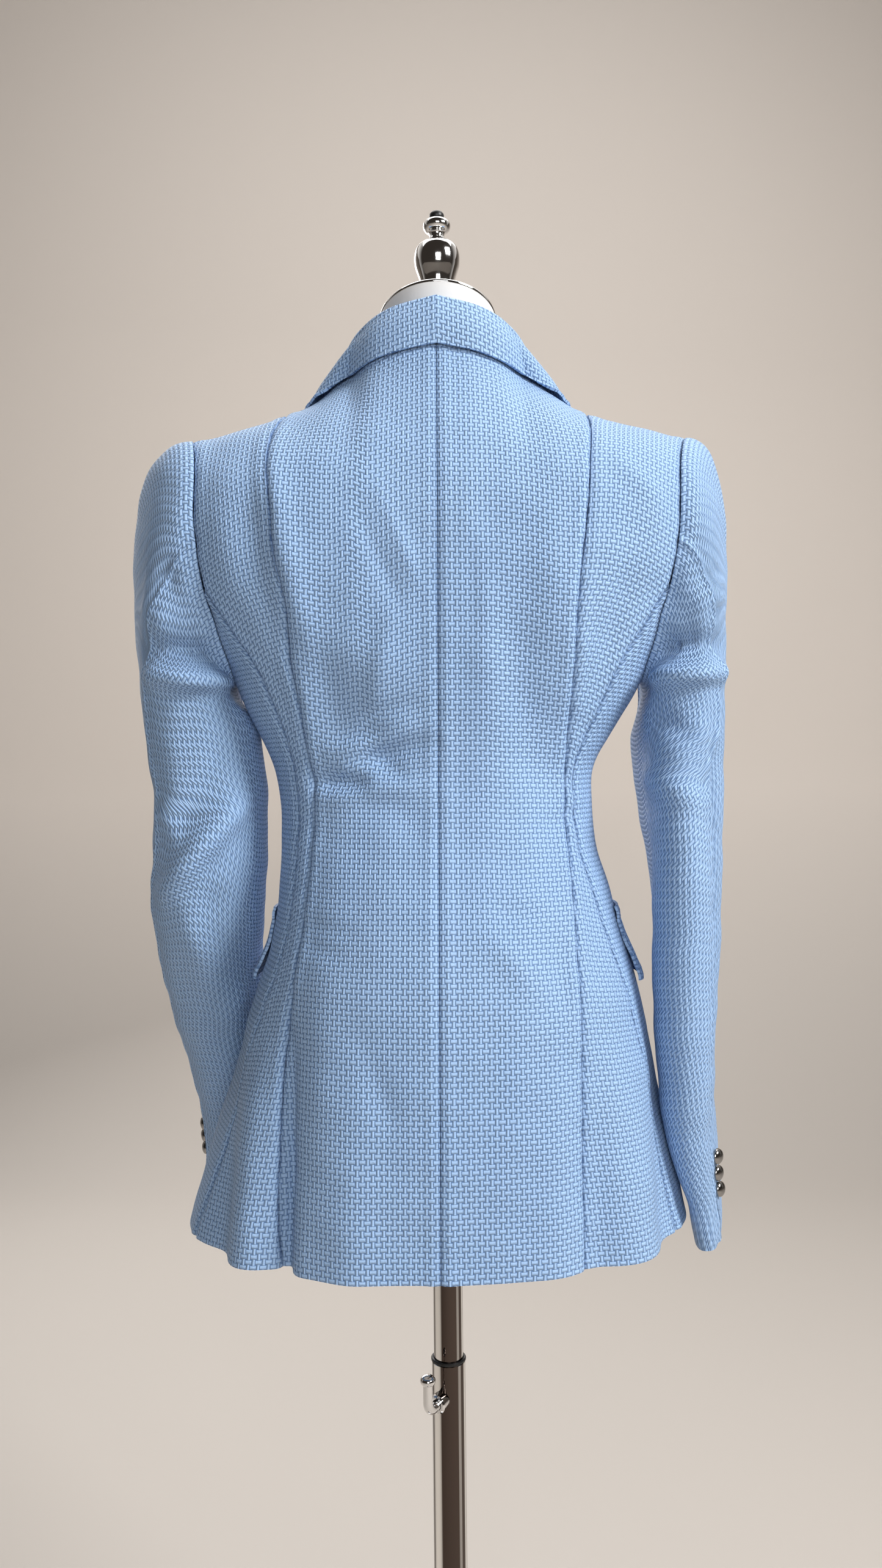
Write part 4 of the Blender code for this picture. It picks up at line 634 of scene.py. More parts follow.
bodyFolds = (
    (0.122, 0.600, 0.104, 0.950, 0.014, -0.0120),  # the flare's valleys and ridges, from the hem up
    (0.152, 0.610, 0.134, 0.930, 0.016, 0.0060),
    (0.180, 0.610, 0.150, 0.920, 0.013, -0.0100),
    (0.1080, 0.965, 0.1195, 0.640, 0.0050, -0.0070),  # the seam lies in the bottom of the left valley
    (0.1030, 0.940, 0.1060, 0.620, 0.0090, 0.0045),
    (-0.108, 0.620, -0.096, 0.920, 0.014, -0.0080),
    (-0.140, 0.620, -0.128, 0.900, 0.017, 0.0040),
    (-0.178, 0.610, -0.152, 0.910, 0.013, -0.0100),
    (0.060, 0.620, 0.066, 0.900, 0.022, 0.0040),
    (0.150, 1.300, 0.045, 1.060, 0.014, -0.0040),  # drapes of the upper back
    (0.118, 1.330, 0.085, 1.110, 0.010, 0.0040),
    (0.080, 1.180, 0.012, 1.040, 0.016, -0.0045),
    (0.075, 1.110, 0.010, 1.075, 0.012, 0.0035),
    (-0.040, 1.235, -0.082, 1.040, 0.017, -0.0045),
    (-0.062, 1.300, -0.110, 1.110, 0.018, 0.0035),
    (-0.150, 1.270, -0.090, 1.120, 0.013, -0.0040),
    (0.134, 1.335, 0.124, 1.190, 0.014, -0.0030),  # hollow between the armhole and the seam beside it
    (0.046, 1.300, 0.010, 1.215, 0.0050, 0.0016),  # thin drags below the shoulder blade
    (0.062, 1.290, 0.022, 1.200, 0.0065, -0.0018),
    (0.034, 1.215, 0.050, 1.130, 0.0080, 0.0022),
    (0.100, 1.094, 0.050, 1.092, 0.0065, -0.0070),  # the waist creases of the left back
    (0.070, 1.100, 0.000, 1.124, 0.0075, -0.0060),
    (0.094, 1.078, -0.002, 1.092, 0.0065, 0.0032),
    (0.088, 1.112, 0.030, 1.122, 0.0060, 0.0036),
    (0.060, 1.136, 0.014, 1.148, 0.0055, -0.0024),
    (0.050, 1.106, 0.022, 1.094, 0.0050, -0.0022),
    (0.102, 0.992, 0.056, 0.988, 0.0060, -0.0018),
    (0.104, 0.980, 0.066, 0.974, 0.0055, -0.0015),
    (0.060, 0.930, 0.032, 0.850, 0.0090, -0.0018),
    (-0.016, 1.300, -0.034, 1.140, 0.0100, 0.0022),  # the right back
    (-0.020, 1.270, -0.024, 1.180, 0.0070, -0.0020),
    (-0.030, 1.003, -0.068, 1.001, 0.0060, -0.0024),
    (-0.024, 0.995, -0.070, 0.940, 0.0090, 0.0022),
    (-0.078, 0.990, -0.082, 0.930, 0.0080, -0.0020),
    (-0.072, 1.058, -0.106, 1.072, 0.0060, -0.0020),
    (-0.118, 1.320, -0.160, 1.282, 0.0080, 0.0022),
    (-0.158, 1.240, -0.126, 1.165, 0.0070, -0.0022),
    (-0.150, 1.225, -0.112, 1.150, 0.0060, 0.0018),
)
frontFolds = (
    (0.120, 0.620, 0.104, 0.930, 0.014, -0.0060),
    (-0.120, 0.620, -0.104, 0.930, 0.014, -0.0060),
    (0.112, 1.105, 0.020, 1.086, 0.0080, -0.0030),  # drags towards the button
    (-0.112, 1.108, -0.020, 1.088, 0.0080, -0.0030),
    (0.100, 1.070, 0.022, 1.078, 0.0070, 0.0022),
    (-0.100, 1.066, -0.022, 1.076, 0.0070, 0.0022),
    (0.110, 1.030, 0.024, 1.060, 0.0080, -0.0022),
    (-0.110, 1.026, -0.024, 1.058, 0.0080, -0.0022),
    (0.140, 1.250, 0.112, 1.150, 0.0100, -0.0028),
    (-0.140, 1.255, -0.112, 1.155, 0.0100, -0.0028),
)
outsides = {}  # outer surfaces of the panels, for what lies on them


def unevenness(place):
    x, z = place[..., 0], place[..., 2]
    depth = np.zeros(x.shape)
    for height, *waves in body["waves"]:
        first, second = (np.sin(across * x + up * z + start) for across, up, start in waves)
        depth = depth + height * first * second
    return depth


def section(side, height):
    names = (side, "sideY", "backY", "frontY", "squareBack", "squareFront")
    return [read(body["levels"], name, np.minimum(height, body["yokeZ"])) for name in names]


def angleAt(side, x, height, behind):
    half, _, _, _, squareBack, squareFront = section(side, height)
    square = squareBack if behind else squareFront
    angle = np.arcsin(np.clip(signedPower(x / half, square / 2), -1, 1))
    return angle if behind else math.pi - angle


def depthAt(side, x, height, behind):
    half, sideY, backY, frontY, squareBack, squareFront = section(side, height)
    square = np.where(behind, squareBack, squareFront)
    share = np.clip(np.abs(x) / half, 0, body["widest"])
    return sideY + (np.where(behind, backY, frontY) - sideY) * (1 - share**square) ** (1 / square)


def swayAt(height):
    low, high, topZ = body["sway"]
    return low + (high - low) * (height - body["hemZ"]) / (topZ - body["hemZ"])


def topEdge(behind, name, far, backName):
    neckline = np.where(behind, read(topEdges[backName], name, far), read(topEdges["front"], name, far))
    return np.where(far < front["rollTop"], neckline, read(topEdges["shoulder"], name, far))


def plainBody(side, angle, height, backName="back"):
    angle, height = np.broadcast_arrays(np.asarray(angle, float), np.asarray(height, float))
    half, sideY, backY, frontY, squareBack, squareFront = section(side, height)
    behind = np.cos(angle) > 0
    square = np.where(behind, squareBack, squareFront)
    x = half * signedPower(np.sin(angle), 2 / square)
    y = sideY + (np.where(behind, backY, frontY) - sideY) * np.abs(np.cos(angle)) ** (2 / square)
    # above the yoke, each upright slice rolls over to the shoulder or the neckline
    yoke = body["yokeZ"]
    up = (height - yoke) / (body["shoulder"] - yoke)
    far = np.abs(x)
    startY = depthAt(side, x, yoke, behind)
    lean = (startY - depthAt(side, x, yoke - body["leanStep"], behind)) / body["leanStep"]
    endY = topEdge(behind, "y", far, backName)
    endZ = topEdge(behind, "z", far, backName)
    rise = np.radians(topEdge(behind, "rise", far, backName))
    reach = body["rollReach"] * np.hypot(endY - y, endZ - yoke)
    upright = reach / np.hypot(lean, 1)
    over = np.where(behind, -1, 1) * np.cos(rise) * reach
    rolledY = hermite(y, lean * upright, endY, over, up)
    rolledZ = hermite(yoke, upright, endZ, np.sin(rise) * reach, up)
    y = np.where(up > 0, rolledY, y)
    z = np.where(up > 0, rolledZ, height)
    return np.stack([sides[side] * x + swayAt(height), y, z], axis=-1)


def bodySurface(side, angle, height):
    place = plainBody(side, angle, height)
    way = -facing(plainBody, side, angle, height)
    backShare = np.clip(np.cos(angle) * body["aroundSide"], 0, 1)
    foreShare = np.clip(-np.cos(angle) * body["aroundSide"], 0, 1)
    depth = backShare * creases(bodyFolds, place[..., 0], place[..., 2]) + unevenness(place)
    depth = depth + foreShare * creases(frontFolds, place[..., 0], place[..., 2])
    if side == "right":  # the right front lies over the left one
        clearance, start, fade = front["overlap"]
        depth = depth + foreShare * (body["thick"] + clearance) * ease((start + place[..., 0]) / fade)
    return place + way * depth[..., None]


def bodyLayers(side, angle, height, out=0.0):
    way = -facing(bodySurface, side, angle, height)
    outer = bodySurface(side, angle, height)
    level = way * np.array([1, 0, 1])  # along the shoulder seam both walls end in one upright plane
    mitre = unit(level) / np.maximum(np.linalg.norm(level, axis=-1, keepdims=True), 0.5)
    beside = np.abs(outer[..., 0] - swayAt(height)) > front["rollTop"] - 1e-4
    onSeam = (height > body["shoulder"] - 1e-6) & beside
    way = np.where(onSeam[..., None], mitre, way)
    outer = outer + way * np.asarray(out)[..., None]
    return outer, outer - way * body["thick"]


def princessAngle(side, height):
    return angleAt(side, read(seams["princess"], side, height), height, True)


def sideSeamAngle(side, height):
    topZ = seams["sideTopBackZ"]
    hole = angleAt(side, read(seams["backArmhole"], side, height), height, True)
    seam = np.radians(read(seams["sideTurns"], "degrees", height))
    top = angleAt(side, read(seams["backArmhole"], side, topZ), topZ, True)
    last = seams["sideTurns"]["z"][-1]
    return np.where(height > topZ, hole, seam + (top - seam) * ease((height - last) / (topZ - last)))


def frontSeamAngle(side, height):
    topZ = seams["sideTopFrontZ"]
    hole = angleAt(side, read(seams["frontArmhole"], side, height), height, False)
    top = angleAt(side, read(seams["frontArmhole"], side, topZ), topZ, False)
    seam = math.radians(seams["frontTurn"])
    share = ease((height - body["splitZ"]) / (topZ - body["splitZ"]))
    return np.where(height > topZ, hole, seam + (top - seam) * share)


def rollLine(height):
    share = np.clip((height - front["breakZ"]) / (body["shoulder"] - front["breakZ"]), 0, 1)
    return -front["edge"] + (front["rollTop"] + front["edge"]) * share


def sideTop(share):
    low = seams["sideTopLowZ"]
    back = np.clip(1 - 2 * share, 0, 1)
    fore = np.clip(2 * share - 1, 0, 1)
    return low + (seams["sideTopBackZ"] - low) * back**2 + (seams["sideTopFrontZ"] - low) * fore**2


def climb(start, end):
    return np.linspace(start, end, max(2, int(round((end - start) / body["step"]))) + 1)[1:]


lowHeights = np.linspace(body["hemZ"], body["splitZ"], 110)
backHeights = np.concatenate([
    lowHeights,
    climb(body["splitZ"], seams["sideTopBackZ"]),
    climb(seams["sideTopBackZ"], body["yokeZ"]),
    climb(body["yokeZ"], body["shoulder"]),
])
frontHeights = np.concatenate([
    lowHeights,
    climb(body["splitZ"], seams["sideTopFrontZ"]),
    climb(seams["sideTopFrontZ"], body["yokeZ"]),
    climb(body["yokeZ"], body["shoulder"]),
])


def seamMarks(side):  # where the columns of back, side back and front reach the shoulder, from the middle
    princess = float(read(seams["princess"], side, body["shoulder"]))
    armholeX = float(read(seams["backArmhole"], side, body["shoulder"]))
    roll = front["rollTop"]
    toRoll, toPrincess, toArmhole = body["marks"]
    inner = np.concatenate([np.linspace(0, roll, toRoll), np.linspace(roll, princess, toPrincess)[1:]])
    outer = np.linspace(princess, armholeX, toArmhole)
    return inner, outer, np.concatenate([outer[::-1], inner[-2:toRoll - 2:-1]])


def spread(side, first, last, marks, behind):
    turns = angleAt(side, marks, np.full_like(marks, body["shoulder"]), behind)
    share = (turns - turns[0]) / (turns[-1] - turns[0])
    even = clustered(len(share))  # these steps still end at the marks of the top edge
    height = np.linspace(0, 1, len(first))[:, None]
    start, fade = body["straighten"]
    share = even + (share - even) * ease((height - start) / fade)
    return first[:, None] + (last - first)[:, None] * share


def remember(name, outer, flip):
    faces = gridFaces(gridPlaces(outer))
    outsides[name] = (outer.reshape(-1, 3), faces[:, ::-1] if flip else faces)


def cover(names):
    points = []
    faces = []
    for name in names:
        shift = len(points)
        points += outsides[name][0].tolist()
        faces += (outsides[name][1] + shift).tolist()
    return BVHTree.FromPolygons(points, faces)


def laid(outer, inner, tree, clear, reach=0.008):
    outer = outer.copy()
    inner = inner.copy()
    for index in np.ndindex(outer.shape[:2]):
        point = Vector(inner[index].tolist())
        near, normal, _, distance = tree.find_nearest(point)
        lack = clear[index] - (point - near).dot(normal)
        if lack > 0 and distance < reach:
            move = np.array(normal) * lack
            outer[index] += move
            inner[index] += move
    return outer, inner


def bodyPanel(side, part, angles, heights, sewn):
    grain, armholeZ, firstSoft = body["panels"][part]
    outer, _ = bodyLayers(side, angles, heights)
    uv = clothMap(outer, grain)
    depth = body["seamDepth"] * (1 - ease((heights - armholeZ) / body["seamFade"]))
    depth = depth * np.linspace(firstSoft, 1.0, heights.shape[1])
    outer, inner = bodyLayers(side, angles, heights, seamDip(outer, sewn, depth))
    outer = drawnIn(outer)
    remember(f"{side}_{part}", outer, side == "left")
    wall(f"{side}_{part}", outer, inner, uv, sewn)


def laidPanel(side, part, angles, heights, on, lift, clear, sewn=()):
    outer, _ = bodyLayers(side, angles, heights)
    uv = clothMap(outer, 0.5)
    out = body["thick"] + body["laidClear"] + lift + seamDip(outer, sewn, *body["flatSeam"])
    outer, inner = bodyLayers(side, angles, heights, out)
    outer, inner = laid(outer, inner, cover(on), np.full(outer.shape[:2], clear))
    remember(f"{side}_{part}", outer, side == "left")
    wall(f"{side}_{part}", outer, inner, uv)


def levelsOf(rows, angles):
    return np.repeat(rows[:, None], angles.shape[1], axis=1)


def sideGrid(side, columns=40):
    share = np.linspace(0, 1, columns + 1)
    up = np.linspace(0, 1, body["sideRows"])[1:, None]
    upper = body["splitZ"] + (sideTop(share) - body["splitZ"]) * up
    heights = np.concatenate([np.repeat(lowHeights[:, None], columns + 1, axis=1), upper])
    first = sideSeamAngle(side, heights)
    last = frontSeamAngle(side, heights)
    return first + (last - first) * share, heights


def lapelGrid(side, columns=26, rows=76):
    low = front["breakZ"] if side == "right" else front["leftLapelLowZ"]
    share = np.linspace(0, 1, columns + 1)
    gorgeInner, gorgeOuter = front["gorge"]
    tops = gorgeInner + (gorgeOuter - gorgeInner) * share
    heights = low + (tops - low) * np.linspace(0, 1, rows + 1)[:, None]
    beside, besideOther, narrowest = front["lapelGaps"]
    inner = rollLine(heights) + beside
    if side == "left":  # below the crossing of the roll lines it ends at the edge of the right front
        inner = np.maximum(inner, besideOther - rollLine(heights))
    outer = np.maximum(read(front["lapel"], "outer", heights), inner + narrowest)
    return angleAt(side, inner + (outer - inner) * share, heights, False), heights


def makeBody(side):
    innerMarks, outerMarks, frontMarks = seamMarks(side)
    rows = backHeights
    angles = spread(side, np.zeros(len(rows)), princessAngle(side, rows), innerMarks, True)
    bodyPanel(side, "back", angles, levelsOf(rows, angles), ("first", "last", "high"))
    angles = spread(side, princessAngle(side, rows), sideSeamAngle(side, rows), outerMarks, True)
    bodyPanel(side, "side_back", angles, levelsOf(rows, angles), ("first", "last", "high"))
    angles, heights = sideGrid(side)
    bodyPanel(side, "side", angles, heights, ("first", "last"))
    rows = frontHeights
    edge = angleAt(side, rollLine(rows), rows, False)
    angles = spread(side, frontSeamAngle(side, rows), edge, frontMarks, False)
    bodyPanel(side, "front", angles, levelsOf(rows, angles), ("first", "high"))
    angles, heights = lapelGrid(side)
    roll = np.linspace(1, 0, angles.shape[1]) ** 2
    loft = front["lapelLoft"]
    lift = loft + front["lapelRoll"] * roll * np.ones_like(angles)
    laidPanel(side, "lapel", angles, heights, [f"{side}_front"], lift, loft, ("last", "high"))


pockets = {
    "topZ": 0.998,
    "weltHeight": 0.009,
    "weltLoft": 0.0012,
    "rows": (7, 16),  # of the welt and the flap
    "flapHeight": 0.046,
    "turns": {"left": (84, 142), "right": (74, 138)},
    "lift": 0.0034,  # how far the flap's lower edge stands off
    "gap": 0.0003,  # between welt and flap
    "columns": 46,
}


def makePocket(side):
    first, last = (math.radians(turn) for turn in pockets["turns"][side])
    turns = np.linspace(first, last, pockets["columns"])
    on = [f"{side}_{panel}" for panel in ("side_back", "side", "front")]
    top = pockets["topZ"]
    weltRows, flapRows = pockets["rows"]
    shares = np.linspace(0, 1, weltRows)
    angles, levels = np.meshgrid(turns, top - pockets["weltHeight"] * shares)
    belly = pockets["weltLoft"] * np.sin(math.pi * shares)[:, None] * np.ones(len(turns))
    laidPanel(side, "pocket_welt", angles, levels, on, belly, pockets["weltLoft"])
    low = top - pockets["weltHeight"] - pockets["gap"]
    shares = np.linspace(0, 1, flapRows)
    angles, levels = np.meshgrid(turns, low - pockets["flapHeight"] * shares)
    lift = pockets["lift"] * ease(shares)[:, None] * np.ones(len(turns))
    sewn = ("first", "last", "high")
    laidPanel(side, "pocket_flap", angles, levels, on, lift, body["laidClear"], sewn=sewn)


for side in sides:
    makeBody(side)
    makePocket(side)
print("body made")


# Sleeves

sleeves = {
    "topZ": 1.125,
    "blunt": 0.9,  # how much squarer a flattened section is than an ellipse
    "cuffZ": {"left": 0.744, "right": 0.749},
    "hindSeamZ": 1.262,
    "foreShare": 0.8,
    "proud": 0.0005,
    "capSteps": 56,
    "lowSteps": 110,
    "vent": (0.095, 0.0060),  # length, and opening as a share of the way round
    "columns": (84, 56),  # of the upper sleeve and the under sleeve
    "seam": (0.0011, 0.0024, 0.0003),  # depth, reach and fullness
    # strength and reach of the painted shade along the sleeve seams
    "seamShade": (0.62, 0.0020),
    "seamGap": 0.0001,
    "foldsFrom": (0.3, 0.5, 0.25),  # sine of the turn where the folds start, and fades round and down
    "waves": ((1.6, 1, 1.4), 0.15),  # closeness of the slight unevenness by x, y and z, and its fade
    "facingStep": (0.003, 0.004),  # of the plain and the folded surface
    "folds": {
        "left": (
            (0.232, 1.194, 0.128, 1.182, 0.010, 0.0090),  # the sharp fold below the armhole
            (0.230, 1.174, 0.126, 1.163, 0.0075, -0.0120),
            (0.222, 1.270, 0.196, 1.180, 0.011, -0.0040),
            (0.196, 1.020, 0.160, 0.880, 0.014, -0.0040),
            (0.224, 1.240, 0.196, 1.205, 0.0085, -0.0038),
            (0.204, 1.262, 0.180, 1.212, 0.0080, 0.0026),
            (0.214, 1.000, 0.142, 1.088, 0.0085, -0.0120),  # the elbow
            (0.214, 1.040, 0.152, 1.112, 0.0110, 0.0050),
            (0.214, 1.086, 0.190, 1.040, 0.0075, -0.0028),
            (0.190, 0.985, 0.158, 1.020, 0.0090, 0.0028),
            (0.178, 0.900, 0.152, 0.940, 0.0080, -0.0022),
        ),
        "right": (
            (-0.216, 1.190, -0.136, 1.186, 0.0095, 0.0090),
            (-0.216, 1.170, -0.132, 1.164, 0.0070, -0.0115),
            (-0.168, 1.130, -0.186, 0.960, 0.009, -0.0040),
            (-0.140, 1.105, -0.190, 1.070, 0.0085, -0.0060),
            (-0.168, 1.140, -0.178, 0.760, 0.0130, -0.0160),
            (-0.194, 1.160, -0.202, 0.760, 0.0060, 0.0060),
            (-0.150, 1.145, -0.180, 1.118, 0.0085, 0.0044),
            (-0.210, 1.230, -0.180, 1.214, 0.0060, -0.0026),
            (-0.206, 1.244, -0.176, 1.230, 0.0060, 0.0022),
        ),
    },
    "arms": {  # the centre, half width and half depth of each level, its turn, and the degrees of both seams
        "left": table(
            "z x y across deep turned hind fore",
            (1.150, 0.1850, -0.008, 0.0425, 0.049, 0, 33, 232),
            (1.125, 0.1830, -0.008, 0.0415, 0.048, 0, 34, 232),
            (1.090, 0.1785, -0.008, 0.0409, 0.047, 0, 36, 232),
            (1.050, 0.1791, -0.010, 0.0411, 0.047, 0, 32, 232),
            (1.006, 0.1828, -0.020, 0.0410, 0.046, 0, 18, 230),
            (0.965, 0.1860, -0.044, 0.0381, 0.045, 0, 24, 228),
            (0.920, 0.1844, -0.070, 0.0355, 0.045, 0, 26, 226),
            (0.881, 0.1800, -0.093, 0.0340, 0.045, 0, 26, 226),
            (0.845, 0.1775, -0.114, 0.0330, 0.045, 0, 28, 226),
            (0.800, 0.1765, -0.136, 0.0315, 0.045, 0, 32, 226),
            (0.744, 0.1810, -0.154, 0.0300, 0.046, 0, 35, 226),
            (0.720, 0.1830, -0.162, 0.0294, 0.046, 0, 36, 226),
        ),
        "right": table(
            "z x y across deep turned hind fore",
            (1.150, 0.1800, -0.009, 0.0322, 0.060, 0, 50, 232),
            (1.125, 0.1803, -0.008, 0.0307, 0.060, 0, 54, 232),
            (1.090, 0.1809, -0.006, 0.0283, 0.060, 0, 76, 232),
            (1.050, 0.1831, -0.005, 0.0252, 0.060, 2, 70, 232),
            (1.006, 0.1857, -0.006, 0.0222, 0.059, 4, 67, 230),
            (0.965, 0.1877, -0.008, 0.0200, 0.059, 6, 68, 228),
            (0.920, 0.1877, -0.011, 0.0185, 0.058, 8, 66, 226),
            (0.881, 0.1893, -0.014, 0.0168, 0.057, 11, 60, 226),
            (0.845, 0.1916, -0.018, 0.0152, 0.056, 13, 54, 226),
            (0.800, 0.1982, -0.022, 0.0120, 0.055, 13, 46, 226),
            (0.749, 0.2048, -0.026, 0.0090, 0.055, 13, 38, 226),
            (0.725, 0.2080, -0.028, 0.0078, 0.055, 13, 34, 226),
        ),
    },
    "caps": {  # by the share of the way round the armhole: the way out of it and the strength of both ends
        "left": table(
            "share out back up start end",
            (0.000, 1.00, 0.00, 0.04, 0.190, 0.200),
            (0.120, 0.96, 0.18, -0.10, 0.130, 0.170),
            (0.235, 0.86, 0.15, -0.42, 0.100, 0.130),
            (0.380, 0.76, 0.05, -0.62, 0.070, 0.080),
            (0.500, 0.78, 0.00, -0.62, 0.046, 0.040),
            (0.620, 0.76, -0.05, -0.62, 0.060, 0.070),
            (0.800, 0.90, -0.22, -0.30, 0.100, 0.130),
            (0.900, 0.96, -0.12, -0.10, 0.140, 0.170),
            (1.000, 1.00, 0.00, 0.04, 0.190, 0.200),
        ),
        "right": table(
            "share out back up start end",
            (0.000, 1.00, 0.00, 0.02, 0.130, 0.180),
            (0.120, 0.96, 0.20, -0.12, 0.100, 0.160),
            (0.235, 0.84, 0.22, -0.42, 0.080, 0.130),
            (0.380, 0.74, 0.10, -0.62, 0.060, 0.080),
            (0.500, 0.78, 0.00, -0.62, 0.046, 0.040),
            (0.620, 0.74, -0.10, -0.62, 0.060, 0.070),
            (0.800, 0.86, -0.25, -0.35, 0.090, 0.130),
            (0.900, 0.95, -0.12, -0.12, 0.110, 0.160),
            (1.000, 1.00, 0.00, 0.02, 0.130, 0.180),
        ),
    },
}


def armhole(side):
    # down the back, under the arm and up the front
    backRows = backHeights[backHeights > seams["sideTopBackZ"] - 1e-6][::-1]
    angles, tops = sideGrid(side)
    frontRows = frontHeights[frontHeights > seams["sideTopFrontZ"] - 1e-6]
    rising = frontSeamAngle(side, frontRows)[1:]
    angle = np.concatenate([sideSeamAngle(side, backRows), angles[-1, 1:], rising])
    height = np.concatenate([backRows, tops[-1, 1:], frontRows[1:]])
    loop = bodySurface(side, angle, height)
    way = -facing(bodySurface, side, angle, height)
    length = np.concatenate([[0], np.cumsum(np.linalg.norm(np.diff(loop, axis=0), axis=1))])
    shares = length / length[-1]
    hind = shares[int(np.argmin(np.abs(backRows - sleeves["hindSeamZ"])))]
    fore = shares[len(backRows) - 1 + int(round(sleeves["foreShare"] * (angles.shape[1] - 1)))]
    return {"shares": shares, "loop": loop, "way": way, "hind": hind, "fore": fore}


holes = {side: armhole(side) for side in sides}


def armRing(side, turn, height):
    rows = sleeves["arms"][side]
    arm = {name: read(rows, name, height) for name in ("x", "y", "across", "deep", "turned")}
    step = 0.004
    leanX = (read(rows, "x", height + step) - read(rows, "x", height - step)) / (2 * step)
    leanY = (read(rows, "y", height + step) - read(rows, "y", height - step)) / (2 * step)
    way = unit(np.stack([sides[side] * leanX, leanY, np.ones_like(leanX)], axis=-1))
    swing = np.radians(arm["turned"])
    outward = np.stack([sides[side] * np.cos(swing), np.sin(swing), np.zeros_like(swing)], axis=-1)
    outward = unit(outward - way * np.sum(outward * way, axis=-1, keepdims=True))
    backward = sides[side] * np.cross(way, outward)
    centre = np.stack([sides[side] * arm["x"], arm["y"], height + 0 * arm["x"]], axis=-1)
    blunt = 2 / (2 + sleeves["blunt"] * (1 - arm["across"] / arm["deep"]))
    across = arm["across"] * signedPower(np.cos(turn), blunt)
    deep = arm["deep"] * signedPower(np.sin(turn), blunt)
    return centre + across[..., None] * outward + deep[..., None] * backward


def turnAt(side, share, height):
    hole = holes[side]
    hind = read(sleeves["arms"][side], "hind", height)
    fore = read(sleeves["arms"][side], "fore", height)
    share = np.mod(share, 1.0)
    outside = hind * share / hole["hind"]
    under = hind + (fore - hind) * (share - hole["hind"]) / (hole["fore"] - hole["hind"])
    before = fore + (360 - fore) * (share - hole["fore"]) / (1 - hole["fore"])
    return np.radians(np.where(share < hole["hind"], outside, np.where(share < hole["fore"], under, before)))


def plainSleeve(side, share, down):
    # down runs from 0 at the armhole to 1 below the cap and 2 at the cuff
    share, down = np.broadcast_arrays(np.asarray(share, float), np.asarray(down, float))
    topZ = sleeves["topZ"]
    height = topZ + (sleeves["cuffZ"][side] - topZ) * np.maximum(down - 1, 0)
    turn = turnAt(side, share, height)
    ring = armRing(side, turn, height)
    hole = holes[side]
    at = np.mod(share, 1.0)
    start = np.stack([np.interp(at, hole["shares"], hole["loop"][:, k]) for k in range(3)], axis=-1)
    way = unit(np.stack([np.interp(at, hole["shares"], hole["way"][:, k]) for k in range(3)], axis=-1))
    cap = sleeves["caps"][side]
    leave = [read(cap, name, at) for name in ("out", "back", "up")]
    out = unit(np.stack([sides[side] * leave[0], leave[1], leave[2]], axis=-1))
    sunk = np.minimum(np.sum(out * way, axis=-1, keepdims=True), 0)
    out = unit(out - way * sunk)
    start = start + out * sleeves["seamGap"] + way * sleeves["proud"]
    below = armRing(side, turn, height - 0.002)
    t = np.clip(down, -0.05, 1)[..., None]
    pullOut = out * read(cap, "start", at)[..., None]
    pullDown = unit(below - ring) * read(cap, "end", at)[..., None]
    return np.where(down[..., None] < 1, hermite(start, pullOut, ring, pullDown, t), ring)


def sleeveSurface(side, share, down):
    place = plainSleeve(side, share, down)
    step, _ = sleeves["facingStep"]
    way = facing(plainSleeve, side, share, down, step, step)
    turn = turnAt(side, share, np.full_like(place[..., 0], sleeves["topZ"]))
    start, fade, below = sleeves["foldsFrom"]
    behind = ease((np.sin(turn) - start) / fade) * ease(down / below)
    depth = behind * creases(sleeves["folds"][side], place[..., 0], place[..., 2])
    closeness, fade = sleeves["waves"]
    depth = depth + unevenness(place * closeness) * ease(down / fade)
    return place + way * depth[..., None]


def sleevePanel(name, side, columns, opens):
    # columns start at the hind seam, whose lowest part is an open vent
    capDowns = np.linspace(0, 1, sleeves["capSteps"])[:-1]
    downs = np.concatenate([capDowns, np.linspace(1, 2, sleeves["lowSteps"])])
    length, opening = sleeves["vent"]
    vent = length / (sleeves["topZ"] - sleeves["cuffZ"][side])
    part = opening * ease((downs - 2 + vent) / vent)
    fade = 1 - (columns - columns[0]) / (columns[-1] - columns[0])
    share = columns + opens * part[:, None] * fade
    down = np.repeat(downs[:, None], len(columns), axis=1)
    _, step = sleeves["facingStep"]
    way = facing(sleeveSurface, side, share, down, step, step)
    outer = sleeveSurface(side, share, down)
    uv = clothMap(outer, 0.5)
    outer = outer + way * seamDip(outer, ("first", "last"), *sleeves["seam"])[..., None]
    inner = outer - way * body["thick"]
    outer = drawnIn(outer, sleeves["seamGap"])
    remember(name, outer, (side == "left") != (opens > 0))
    wall(name, outer, inner, uv, ("first", "last", "low"), sleeves["seamShade"])


def makeSleeve(side):
    hole = holes[side]
    ends = {"upper": hole["fore"] - 1, "under": hole["fore"]}
    for name, opens, count in zip(ends, (-1, 1), sleeves["columns"]):
        columns = hole["hind"] + (ends[name] - hole["hind"]) * clustered(count)
        sleevePanel(f"{side}_{name}_sleeve", side, columns, opens)


for side in sides:
    makeSleeve(side)
print("sleeves made")


# Collar, from centre back (0) to its front end (1)

